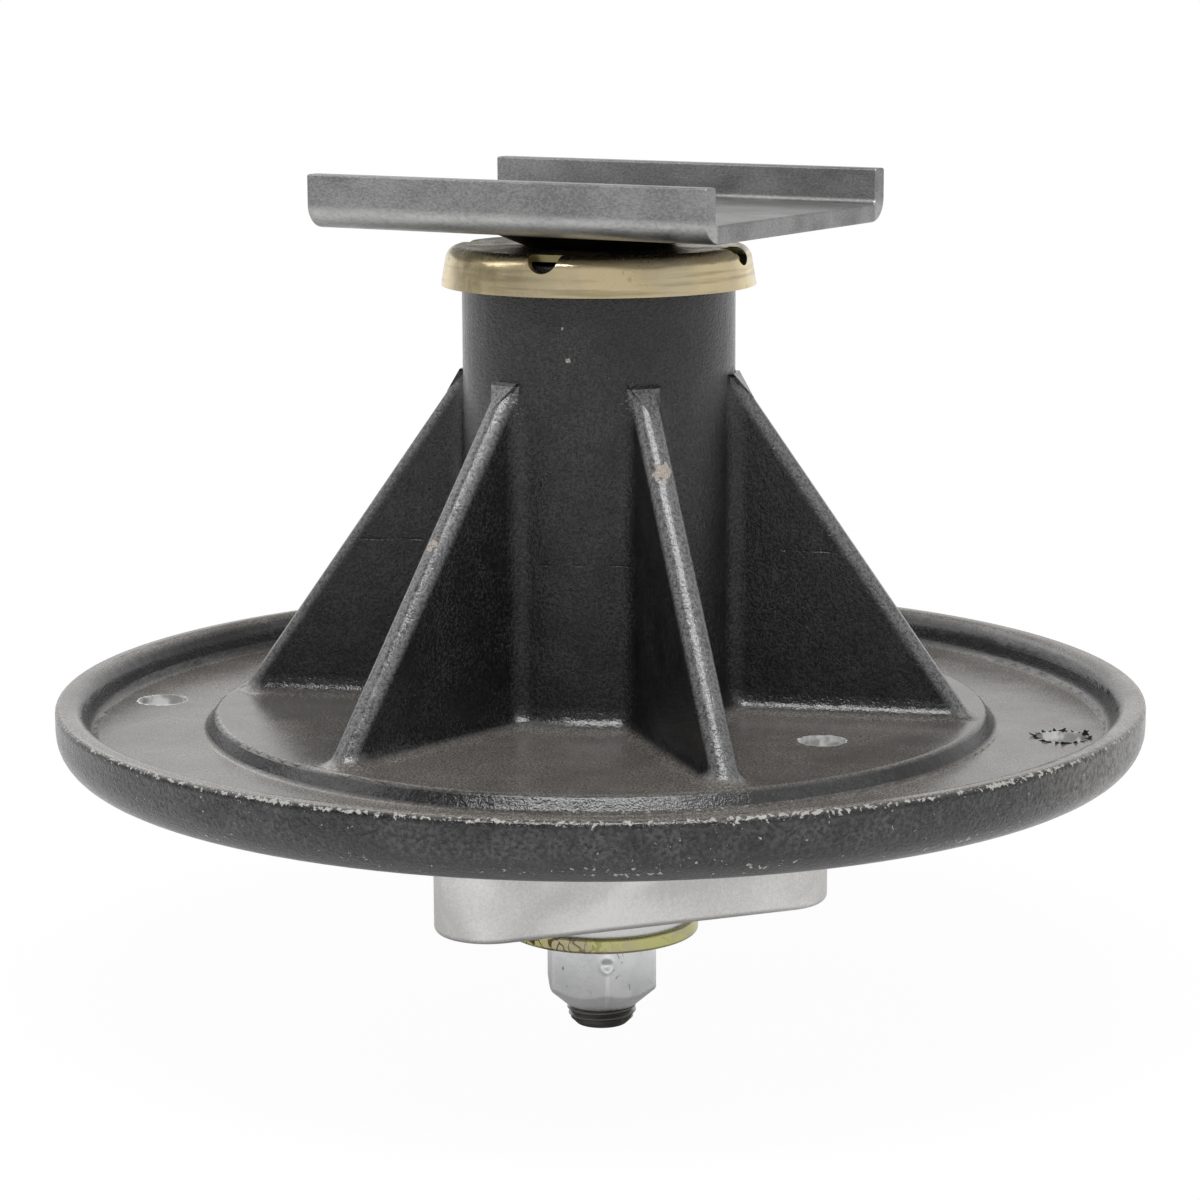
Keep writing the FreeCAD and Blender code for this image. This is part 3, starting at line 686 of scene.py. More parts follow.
    def _chips(self, at: CastingPlace, from_nose: Value) -> Value:
        """Chipped paint along the rim's outer edge, down its side and on the gussets' free edges.

        Args:
            at: Where the point lies.
            from_nose: Its distance from the gussets' free edges.

        Returns:
            The mask.
        """
        shape, sheet, place = self.shape, at.sheet, at.place
        edge_inset, rim_band, side_height = 0.4, 4.0, 3.6
        edge = sheet.length(at.radius - (shape.flange_radius - edge_inset), at.z - (shape.rim_height - edge_inset))
        side = sheet.measure("DOT_PRODUCT", place, polar(1.0, self.worn_side))
        side = sheet.span(side, -0.3 * shape.flange_radius, 0.8 * shape.flange_radius)
        worn = sheet.span(sheet.noise(place, 26.0), 0.38, 0.62, 0.2, 1.0) * side
        width = (sheet.noise(place, 1.0, 4.0) - 0.56) * 5.4 + worn * 0.7
        rim = sheet.span(width - edge, -0.1, 0.15)
        band = sheet.span(abs(at.z - side_height), 2.6, 0.4, 0.35, 1.0)
        bar = 0.72 - band * worn * 0.125
        flecks = sheet.span(sheet.noise(place, 1.2, 4.0) - bar, 0.0, 0.03)
        flecks = flecks * (at.radius > shape.flange_radius - rim_band)
        nose = sheet.span(from_nose, 1.2, 0.5) * sheet.span(sheet.noise(place, 2.2, 4.0), 0.72, 0.74)
        return sheet.highest(rim, flecks, nose)

    def _named_chips(self, at: CastingPlace) -> Value:
        """The larger tan chips: on the front gussets' edges and high on the tube.

        Args:
            at: Where the point lies.

        Returns:
            The mask.
        """
        shape, sheet, soft = self.shape, at.sheet, 0.3
        rag = sheet.span(sheet.noise(at.place, 1.6, 3.0), *NOISE_BAND, -0.6, 0.6)
        spots = (
            (shape.nose_spot(-40.0, 69.2), 2.2), (shape.nose_spot(-100.0, 53.7), 1.2),
            (polar(shape.tube_radius, -74.0, 98.0), 0.5), (polar(shape.tube_radius, -71.0, 91.5), 0.35),
        )
        gaps = ((sheet.measure("DISTANCE", at.place, spot) + rag, reach) for spot, reach in spots)
        return sheet.highest(*(sheet.span(gap, reach, reach - soft) for gap, reach in gaps))

    def _tan_wear(self, at: CastingPlace) -> Value:
        """Paint rubbed tan on one side of the rim.

        Args:
            at: Where the point lies.

        Returns:
            The mask.
        """
        sheet, rim = at.sheet, self.shape.flange_radius
        side = sheet.measure("DOT_PRODUCT", at.place, polar(1.0, self.tan_side))
        return (sheet.span(side, 0.8 * rim, 0.97 * rim) * sheet.span(at.radius, rim - 5.0, rim - 2.0)
                * sheet.span(sheet.noise(at.place, 1.3, 4.0), 0.42, 0.6, 0.0, 0.6))

    def _parting_line(self, at: CastingPlace) -> Value:
        """Faint line round the tube and the gussets where the mould's halves met.

        Args:
            at: Where the point lies.

        Returns:
            The mask.
        """
        sheet, strength = at.sheet, 0.5
        wander = sheet.span(sheet.noise(at.place, 30.0, 1.0), *NOISE_BAND, -0.3, 0.3)
        line = sheet.span(abs(at.z - self.shape.parting_height + wander), 0.3, 0.05)
        return line * sheet.span(sheet.noise(at.place, 7.0), 0.45, 0.6) * strength


@dataclass(frozen=True)
class MillSteel:
    """Raw folded steel: speckled mill grey, paler in patches along the lower bend as a painted reflection of the
    floor, with rust specks.
    """

    half_width: float
    base_height: float
    bend: float = 5.2
    dark: Colour = (0.2, 0.2, 0.201)
    # Colour of the painted reflection along the lower bend
    light: Colour = (0.35, 0.35, 0.347)
    painted_fold_reflection: Colour = (0.45, 0.45, 0.446)
    scratch: Colour = (0.5, 0.5, 0.5)
    dust: Colour = (0.27, 0.26, 0.245)
    rust: Colour = (0.10, 0.062, 0.04)
    grain_depth: float = 0.06

    def material(self) -> Material:
        """The finish as a material."""
        material, sheet, shader = new_material("mill_steel")
        place = sheet.millimetres()
        _, y, z = sheet.parts(place)
        rolled = sheet.stretched(place, 0.6, 1.0, 1.0)
        grain = SHELF.place(sheet, Effect.GRAIN, rolled, size=0.42, fine_share=0.4)
        scuffs = SHELF.mask(sheet, Effect.SCUFFS, place, length=14.0, amount=0.5)
        specks = SHELF.mask(sheet, Effect.SPECKS, place, spacing=6.0, share=0.26, size=0.075)
        dust = SHELF.mask(sheet, Effect.DUST, place, patch_size=25.0, amount=0.25)
        cloud = sheet.span(sheet.noise(rolled, 9.0, 4.0), *NOISE_BAND, 0.2, 0.8)
        tone = cloud + sheet.span(grain["Height"], *NOISE_BAND, -0.45, 0.45)
        aside = abs(y) - (self.half_width - self.bend)
        below = self.base_height + self.bend - z
        # Painted reflection: the lower bend, which faces down towards the white floor, made paler in patches
        reflection_patches = sheet.span(sheet.noise(rolled, 0.7, 3.0), 0.3, 0.6, 0.5, 1.0)
        painted_fold_reflection = sheet.span(aside, 0.0, 1.5) * sheet.span(below, -0.4, 1.8) * reflection_patches
        colour = sheet.layered(self.dark, (tone, self.light), (painted_fold_reflection, self.painted_fold_reflection), (scuffs, self.scratch),
                               (specks, self.rust), (dust, self.dust))
        rough = sheet.span(grain["Mottle"], *NOISE_BAND, 0.5, 0.38)
        coat_shader(sheet, shader, colour, rough, (grain["Height"] - specks, self.grain_depth))
        return material


@dataclass(frozen=True)
class ZincPlate:
    """Passivated zinc plating, clouded between two tints and stained in places."""

    name: str
    main: Colour
    second: Colour
    # Colour of stains, also used for painted shade inside the cap and in its rings
    stain_and_shade: Colour
    stain_share: float = 0.3
    cloud: float = 9.0
    roughness: float = 0.3
    stain_spot: Optional[Vector] = None
    stain_reach: float = 10.0
    tide_lines: bool = False
    skin_radius: float = 0.0
    # Whether to lay dark ring streaks: partly spinning marks, partly painted shade of reflected bands
    spun_and_shaded_rings: bool = False
    corner_turn: Optional[float] = None
    # Colour of the painted highlight along the nut's corners
    painted_corner_highlight: Colour = (0.97, 0.97, 0.97)
    scratch: Colour = (0.85, 0.84, 0.8)
    dust: Colour = (0.3, 0.285, 0.26)
    grain_depth: float = 0.025

    def material(self) -> Material:
        """The finish as a material."""
        material, sheet, shader = new_material(self.name)
        place = sheet.millimetres()
        x, y, _ = sheet.parts(place)
        grain = SHELF.place(sheet, Effect.GRAIN, place, size=0.6, fine_share=0.5)
        scuffs = SHELF.mask(sheet, Effect.SCUFFS, place, length=9.0, amount=0.35)
        dust = SHELF.mask(sheet, Effect.DUST, place, patch_size=12.0, amount=0.55)
        blotch = self._blotch(sheet, place)
        tint = sheet.span(sheet.noise(place, self.cloud, 3.0, 0.6), *NARROW_BAND)
        coats = [(tint, self.second), (blotch, self.stain_and_shade)]
        # Dark horizontal streaks round the cap: partly spinning marks, partly painted shade standing in for the
        # dark bands that the cap reflects
        if self.spun_and_shaded_rings:
            ring_marks_and_shade = sheet.noise(sheet.stretched(place, 0.06, 0.06, 1.0), 1.3, 3.0)
            coats.append((sheet.span(ring_marks_and_shade, 0.45, 0.72, 0.0, 0.45), self.stain_and_shade))
        # Painted shade: faces inside the cap's skirt that turn inwards get the dark stain colour
        if self.skin_radius:
            _, _, slope = sheet.parts(sheet.coordinates("Normal"))
            shaded_inside = (sheet.length(x, y) < self.skin_radius) * (slope < 0.5)
            coats.append((shaded_inside, self.stain_and_shade))
        # Painted highlight: a pale line along each corner of the nut, broken in patches
        if self.corner_turn is not None:
            bearing = sheet.calc("ARCTAN2", y, x) - math.radians(self.corner_turn)
            off = abs(sheet.calc("WRAP", bearing, math.pi / 6, -math.pi / 6))
            highlight_patches = sheet.span(sheet.noise(place, 1.5, 3.0), 0.35, 0.55, 0.3, 1.0)
            coats.append((sheet.span(off, 0.055, 0.02) * highlight_patches, self.painted_corner_highlight))
        colour = sheet.layered(self.main, *coats, (scuffs, self.scratch), (dust, self.dust))
        rough = sheet.span(grain["Mottle"], *NOISE_BAND, self.roughness, self.roughness + 0.12)
        rough = rough + sheet.highest(blotch, dust) * 0.2
        coat_shader(sheet, shader, colour, rough, (grain["Height"], self.grain_depth))
        return material

    def _blotch(self, sheet: NodeSheet, place: Value) -> Value:
        """Stains over the plating, and those around the stained spot if there is one.

        Args:
            sheet: The material's nodes.
            place: Coordinates in millimetres.

        Returns:
            The mask.
        """
        blotch = sheet.span(sheet.noise(place, 2.4, 4.0, 0.8), 0.66 - 0.2 * self.stain_share, 0.72)
        if self.stain_spot is None:
            return blotch
        gap = sheet.measure("DISTANCE", place, self.stain_spot)
        near = sheet.span(gap, self.stain_reach, 0.2 * self.stain_reach)
        if self.tide_lines:
            smudge = sheet.span(abs(sheet.noise(place, 2.4, 1.0, 0.3) - 0.5), 0.07, 0.03)
        else:
            smudge = sheet.span(sheet.noise(place, 3.0, 4.0, 0.5), 0.3, 0.65, 0.0, 0.6)
        return sheet.highest(blotch * 0.4, near * smudge)


@dataclass(frozen=True)
class MachinedAluminium:
    """Satin milled aluminium with faint tool bands and handling scratches."""

    main: Colour = (0.55, 0.54, 0.525)
    band: Colour = (0.72, 0.715, 0.70)
    mark: Colour = (0.90, 0.90, 0.89)
    tool_slope: Colour = (0.5, 0.35, 0.9)
    grain_depth: float = 0.03

    def material(self) -> Material:
        """The finish as a material."""
        material, sheet, shader = new_material("machined_aluminium")
        place = sheet.millimetres()
        grain = SHELF.place(sheet, Effect.GRAIN, place, size=0.9, fine_share=0.6)
        scuffs = SHELF.mask(sheet, Effect.SCUFFS, place, length=12.0, amount=0.9)
        slope = sheet.stretched(sheet.turned(place, self.tool_slope), 1.0, 0.22, 0.22)
        bands = sheet.noise(slope, 13.0, 2.0, 0.4)
        tone = sheet.span(bands, 0.38, 0.62) + sheet.span(grain["Height"], *NOISE_BAND, -0.3, 0.3)
        colour = sheet.layered(self.main, (tone, self.band), (scuffs, self.mark))
        rough = sheet.span(bands, 0.35, 0.65, 0.48, 0.38)
        coat_shader(sheet, shader, colour, rough, (grain["Height"], self.grain_depth))
        return material


@dataclass(frozen=True)
class OiledSteel:
    """Turned steel, darkened by oil."""

    name: str
    main: Colour
    worn: Colour
    roughness: float = 0.4
    grain_depth: float = 0.02

    def material(self) -> Material:
        """The finish as a material."""
        material, sheet, shader = new_material(self.name)
        place = sheet.millimetres()
        turned = sheet.stretched(place, 0.08, 0.08, 1.0)
        grain = SHELF.place(sheet, Effect.GRAIN, turned, size=0.35, fine_share=0.5)
        scuffs = SHELF.mask(sheet, Effect.SCUFFS, place, length=10.0, amount=0.5)
        tint = sheet.span(sheet.noise(place, 6.0, 4.0), 0.4, 0.65) * 0.5
        colour = sheet.mix(sheet.highest(tint, scuffs), self.main, self.worn)
        rough = sheet.span(grain["Mottle"], *NOISE_BAND, self.roughness, self.roughness + 0.12)
        coat_shader(sheet, shader, colour, rough, (grain["Height"], self.grain_depth))
        return material


@dataclass(frozen=True)
class Moulding:
    """Moulded plastic or rubber."""

    name: str
    main: Colour
    shade: Colour
    roughness: float
    grain_depth: float = 0.03

    def material(self) -> Material:
        """The finish as a material."""
        material, sheet, shader = new_material(self.name)
        grain = SHELF.place(sheet, Effect.GRAIN, sheet.millimetres(), size=0.5)
        colour = sheet.mix(sheet.span(grain["Mottle"], 0.35, 0.65), self.main, self.shade)
        rough = sheet.span(grain["Mottle"], *NOISE_BAND, self.roughness, self.roughness + 0.1)
        coat_shader(sheet, shader, colour, rough, (grain["Height"], self.grain_depth), 0.0)
        return material


def dress_node(node: str, material: Material) -> None:
    """Give a node of the frame its finish.

    Args:
        node: The node's name.
        material: The finish.
    """
    mesh = frame["nodes"][node].data
    mesh.materials.clear()
    mesh.materials.append(material)
    LOG.info("node %s: %s", node, material.name)


def new_object(name: str, data: bpy.types.ID) -> bpy.types.Object:
    """Put a new object into the scene.

    Args:
        name: Its name.
        data: Its mesh, lamp or camera.

    Returns:
        The object.
    """
    item = bpy.data.objects.new(name, data)
    bpy.context.scene.collection.objects.link(item)
    return item


def modified_mesh(carrier: bpy.types.Object) -> Mesh:
    """Take what an object's modifiers make of it, and remove the object.

    Args:
        carrier: The object.

    Returns:
        The result as a mesh.
    """
    graph = bpy.context.evaluated_depsgraph_get()
    mesh = bpy.data.meshes.new_from_object(carrier.evaluated_get(graph))
    bpy.data.objects.remove(carrier)
    return mesh


def add_piece(name: str, mesh: Mesh, body: Body) -> bpy.types.Object:
    """Add a piece of the object.

    Args:
        name: The piece's name.
        mesh: Its mesh, in place.
        body: The body that carries it.

    Returns:
        The piece's object.
    """
    piece = new_object(name, mesh)
    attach(piece, body.value)
    LOG.info("piece %s: %d faces on %s", name, len(mesh.polygons), body.value)
    return piece


class GeometryTree:
    """A Geometry Nodes tree with named number inputs, run once into a plain mesh."""

    def __init__(self, name: str, sizes: dict[str, float]) -> None:
        """Start a tree.

        Args:
            name: The tree's name.
            sizes: Its number inputs and their values.
        """
        self.name = name
        self.sizes = sizes
        self.tree = bpy.data.node_groups.new(name, "GeometryNodeTree")
        face = self.tree.interface
        face.new_socket("Geometry", in_out="INPUT", socket_type="NodeSocketGeometry")
        for key in sizes:
            face.new_socket(key, in_out="INPUT", socket_type="NodeSocketFloat")
        face.new_socket("Geometry", in_out="OUTPUT", socket_type="NodeSocketGeometry")
        self.sheet = NodeSheet(self.tree)
        inputs = self.sheet.add("NodeGroupInput").outputs
        self.given = {key: Value(self.sheet, inputs[key]) for key in sizes}
        self.output = self.sheet.add("NodeGroupOutput").inputs["Geometry"]

    def close(self, geometry: Value, material: Material) -> Mesh:
        """Finish the tree and run it.

        Args:
            geometry: What the tree has made.
            material: The finish to set on it.

        Returns:
            The result as a mesh.
        """
        real = self.sheet.result("GeometryNodeRealizeInstances", {"Geometry": geometry})
        dressed = self.sheet.result("GeometryNodeSetMaterial", {"Geometry": real, "Material": material})
        self.sheet.feed(self.output, dressed)
        carrier = new_object(self.name, bpy.data.meshes.new(self.name))
        modifier = carrier.modifiers.new(self.name, "NODES")
        modifier.node_group = self.tree
        for item in self.tree.interface.items_tree:
            if item.in_out == "INPUT" and item.name in self.sizes:
                modifier[item.identifier] = self.sizes[item.name]
        return modified_mesh(carrier)

    def placed(self, geometry: Value, **changes: Feed) -> Value:
        """Move or turn a geometry.

        Args:
            geometry: The geometry.
            changes: Its translation and rotation.

        Returns:
            The moved geometry.
        """
        feeds = {"Geometry": geometry, **{name.title(): value for name, value in changes.items()}}
        return self.sheet.result("GeometryNodeTransform", feeds)


@dataclass
class Housing:
    """The cast housing with its paint torn at one bolt hole."""

    node: str = "housing"
    slot: str = "housing_paint"
    bolt_mount: str = "deck_bolts"
    flake_count: int = 26
    flake_margin: float = 0.1
    flake_length: float = 1.9
    flake_width: float = 1.7
    flake_thickness: float = 0.16
    flake_curl: float = 0.16
    flake_taper: float = 0.8
    flake_seed: int = 7

    def shape(self) -> CastingShape:
        """Sizes of the casting, from the frame where it gives them."""
        _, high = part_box(self.node)
        mount = next(m for m in frame["record"]["mounts"] if m["name"] == self.bolt_mount)
        return CastingShape(flange_radius=high.x / MM, bolt_circle=mount["dims"]["pcd_mm"] / 2,
                            bolt_hole=mount["dims"]["hole_r_mm"])

    def build(self) -> None:
        """Dress the casting and add the torn paint."""
        shape = self.shape()
        dress_node(self.node, PaintedCasting(shape).material())
        torn = OiledSteel("torn_paint", (0.012, 0.012, 0.012), (0.02, 0.02, 0.02), 0.6)
        add_piece("torn_paint_flakes", self._flakes(shape, torn), Body.HOUSING)

    def _flakes(self, shape: CastingShape, finish: OiledSteel) -> Mesh:
        """Curled flakes of paint around the first bolt hole.

        Args:
            shape: Sizes of the casting.
            finish: The flakes' finish.

        Returns:
            The flakes as one mesh.
        """
        sizes = {
            "Hole Radius": shape.bolt_hole + self.flake_margin,
            "Bolt Circle": shape.bolt_circle,
            "Floor": shape.floor_height,
            "Length": self.flake_length,
            "Width": self.flake_width,
            "Thickness": self.flake_thickness,
        }
        tree = GeometryTree("torn_paint", {name: size * MM for name, size in sizes.items()})
        hole = tree.sheet.vector(tree.given["Bolt Circle"], z=tree.given["Floor"])
        ring = tree.placed(self._ring(tree.sheet, tree.given), translation=hole)
        ring = tree.placed(ring, rotation=(0.0, 0.0, math.radians(shape.gusset_turn)))
        return tree.close(ring, finish.material())

    def _flake(self, sheet: NodeSheet, given: dict[str, Value]) -> Value:
        """One flake: a thin tapering tongue that curls up.

        Args:
            sheet: The tree's nodes.
            given: The tree's inputs.

        Returns:
            The flake, from its root at the origin along X.
        """
        length = given["Length"]
        plate = sheet.result("GeometryNodeMeshCube", {
            "Size": sheet.vector(length, given["Width"], given["Thickness"]),
            "Vertices X": 4, "Vertices Y": 3, "Vertices Z": 2,
        })
        x, y, _ = sheet.parts(sheet.result("GeometryNodeInputPosition"))
        share = sheet.calc("DIVIDE", x, length) + 0.5
        offset = sheet.vector(length * 0.5, share * y * -self.flake_taper,
                              share * share * length * self.flake_curl)
        return sheet.result("GeometryNodeSetPosition", {"Geometry": plate, "Offset": offset})

    def _ring(self, sheet: NodeSheet, given: dict[str, Value]) -> Value:
        """Flakes round a hole at the origin.

        Args:
            sheet: The tree's nodes.
            given: The tree's inputs.

        Returns:
            The ring of flakes.
        """
        feeds = {"Vertices": self.flake_count, "Radius": given["Hole Radius"]}
        spots = sheet.result("GeometryNodeMeshToPoints", {"Mesh": sheet.result("GeometryNodeMeshCircle", feeds)})
        x, y, _ = sheet.parts(sheet.result("GeometryNodeInputPosition"))
        swing = sheet.calc("ARCTAN2", y, x) + self._random(sheet, -1.3, 1.3, 1)
        return sheet.result("GeometryNodeInstanceOnPoints", {
            "Points": spots,
            "Instance": self._flake(sheet, given),
            "Rotation": sheet.vector(0.0, self._random(sheet, -0.3, 0.05, 0), swing),
            "Scale": self._random(sheet, 0.35, 1.0, 2),
        })

    def _random(self, sheet: NodeSheet, low: float, high: float, draw: int) -> Value:
        """A random number for each point.

        Args:
            sheet: The tree's nodes.
            low: Smallest number.
            high: Largest number.
            draw: Which draw of the seed.

        Returns:
            The number.
        """
        node = sheet.add("FunctionNodeRandomValue", {"Seed": self.flake_seed + draw}, data_type="FLOAT")
        floats = [socket for socket in node.inputs if socket.type == "VALUE"]
        floats[0].default_value = low
        floats[1].default_value = high
        return Value(sheet, next(socket for socket in node.outputs if socket.type == "VALUE"))


@dataclass
class SpindleShaft:
    """The shaft, its black head and the thread cut on its end."""

    node: str = "spindle_shaft"
    slot: str = "shaft_steel"
    nut_node: str = "clamp_nut"
    pitch: float = 1.411
    root_radius: float = 7.1
    crest_radius: float = 7.94
    foot_share: float = 0.94
    crest_share: float = 0.16
    sunk_share: float = 0.46
    fade_turns: float = 1.2
    steps_per_turn: int = 64
    into_nut: float = 1.0
    tip_gap: float = 1.35
    sharp_angle: float = 25.0

    def build(self) -> None:
        """Dress the shaft and add its thread."""
        steel = OiledSteel("oiled_shaft_steel", (0.075, 0.073, 0.07), (0.22, 0.215, 0.21), 0.36).material()
        dress_node(self.node, steel)
        cut_steel = OiledSteel("cut_thread_steel", (0.24, 0.235, 0.225), (0.46, 0.45, 0.43), 0.26).material()
        add_piece("shaft_end_thread", self._thread(cut_steel), Body.SPINDLE)

    def _thread(self, steel: Material) -> Mesh:
        """The helical ridge of the shaft's threaded end.

        Args:
            steel: The thread's finish.

        Returns:
            The ridge as a mesh.
        """
        low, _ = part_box(self.node)
        nut_low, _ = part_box(self.nut_node)
        start = low.z + self.tip_gap * MM
        turns = (nut_low.z + self.into_nut * MM - start) / (self.pitch * MM)
        tree = GeometryTree("helical_thread", {
            "Root Radius": self.root_radius * MM,
            "Depth": (self.crest_radius - self.root_radius) * MM,
            "Turns": turns,
            "Height": turns * self.pitch * MM,
            "Foot Width": self.foot_share * self.pitch * MM,
            "Crest Width": self.crest_share * self.pitch * MM,
            "Base": start,
        })
        sheet, given = tree.sheet, tree.given
        path = sheet.result("GeometryNodeCurveSpiral", {
            "Reverse": True,
            "Resolution": self.steps_per_turn,
            "Rotations": given["Turns"],
            "Start Radius": given["Root Radius"],
            "End Radius": given["Root Radius"],
            "Height": given["Height"],
        })
        section = sheet.result("GeometryNodeCurvePrimitiveQuadrilateral", {
            "Height": given["Depth"],
            "Bottom Width": given["Foot Width"],
            "Top Width": given["Crest Width"],
            "Offset": 0.0,
        }, mode="TRAPEZOID")
        section = tree.placed(section, translation=sheet.vector(given["Depth"] * self.sunk_share),
                              rotation=(0.0, 0.0, -math.pi / 2))
        along = sheet.result("GeometryNodeSplineParameter", output="Factor")
        ridge = sheet.result("GeometryNodeCurveToMesh", {
            "Curve": sheet.result("GeometryNodeSetCurveNormal", {"Curve": path}, mode="Z_UP"),
            "Profile Curve": section,
            "Scale": sheet.span(along, 0.0, self.fade_turns / turns, 0.25, 1.0),
            "Fill Caps": True,
        })
        mesh = tree.close(tree.placed(ridge, translation=sheet.vector(z=given["Base"])), steel)
        mesh.shade_smooth()
        mesh.set_sharp_from_angle(angle=math.radians(self.sharp_angle))
        return mesh


@dataclass
class BladeHolder:
    """The folded channel that holds the blade, with its edges broken."""

    node: str = "blade_channel"
    slot: str = "channel_steel"
    piece: str = "folded_blade_channel"
    edge_break: float = 0.6
    edge_steps: int = 3
    edge_angle: float = 40.0
    flat_angle: float = 0.5
    weld: float = 1e-6

    def build(self) -> None:
        """Replace the channel by a copy with broken edges, in mill steel."""
        mesh = self._broken_edges()
        low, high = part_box(self.node)
        mesh.materials.append(MillSteel(high.y / MM, low.z / MM).material())
        piece = add_piece(self.piece, mesh, Body.SPINDLE)
        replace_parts(piece, self.node)

    def _broken_edges(self) -> Mesh:
        """A copy of the channel with its sharp edges broken, without a material."""
        form = bmesh.new()
        form.from_mesh(frame["nodes"][self.node].data)
        bmesh.ops.remove_doubles(form, verts=form.verts, dist=self.weld)
        bmesh.ops.dissolve_limit(form, angle_limit=math.radians(self.flat_angle),
                                 verts=form.verts, edges=form.edges)
        mesh = bpy.data.meshes.new(self.piece)
        form.to_mesh(mesh)
        form.free()
        old_shading = ("custom_normal", "sharp_edge", "sharp_face")
        for layer in [item for item in mesh.attributes if item.name in old_shading]:
            mesh.attributes.remove(layer)
        mesh.shade_smooth()
        carrier = new_object(self.piece, mesh)
        bevel = carrier.modifiers.new("broken_edges", "BEVEL")
        bevel.width = self.edge_break * MM
        bevel.segments = self.edge_steps
        bevel.limit_method = "ANGLE"
        bevel.angle_limit = math.radians(self.edge_angle)
        bevel.harden_normals = False
        weighted = carrier.modifiers.new("flat_faces", "WEIGHTED_NORMAL")
        weighted.keep_sharp = True
        return modified_mesh(carrier)


@dataclass
class DustCap:
    """The pressed cap over the tube's end."""

    node: str = "dust_cap"
    smudge_azimuth: float = -112.0
    smudge_height: float = 110.5
    smudge_radius: float = 34.0
    skin_depth: float = 2.2

    def build(self) -> None:
        """Dress the cap."""
        _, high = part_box(self.node)
        finish = ZincPlate("gold_zinc", (0.8, 0.665, 0.405), (0.72, 0.61, 0.4), (0.2, 0.17, 0.085),
                           stain_share=0.0, cloud=14.0, roughness=0.17,
                           stain_spot=polar(self.smudge_radius, self.smudge_azimuth, self.smudge_height),
                           stain_reach=12.0, skin_radius=high.x / MM - self.skin_depth, spun_and_shaded_rings=True)
        dress_node(self.node, finish.material())


@dataclass
class DriveEnd:
    """The pulley hub with its key, the clamp washer and the nut."""

    hub_node: str = "pulley_hub"
    key_node: str = "drive_key"
    washer_node: str = "clamp_washer"
    stain_azimuth: float = -110.0

    def build(self) -> None:
        """Dress the hub, key, washer and nut."""
        dress_node(self.hub_node, MachinedAluminium().material())
        dress_node(self.key_node, OiledSteel("key_steel", (0.3, 0.3, 0.3), (0.5, 0.5, 0.5)).material())
        low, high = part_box(self.washer_node)
        washer = ZincPlate("yellow_zinc", (0.48, 0.47, 0.2), (0.44, 0.40, 0.25), (0.11, 0.07, 0.03),
                           stain_share=0.2, cloud=6.0, roughness=0.16,
                           stain_spot=polar(high.x, self.stain_azimuth, (low.z + high.z) / 2) / MM,
                           stain_reach=26.0, tide_lines=True)
        dress_node(self.washer_node, washer.material())
        ClampNut().build()


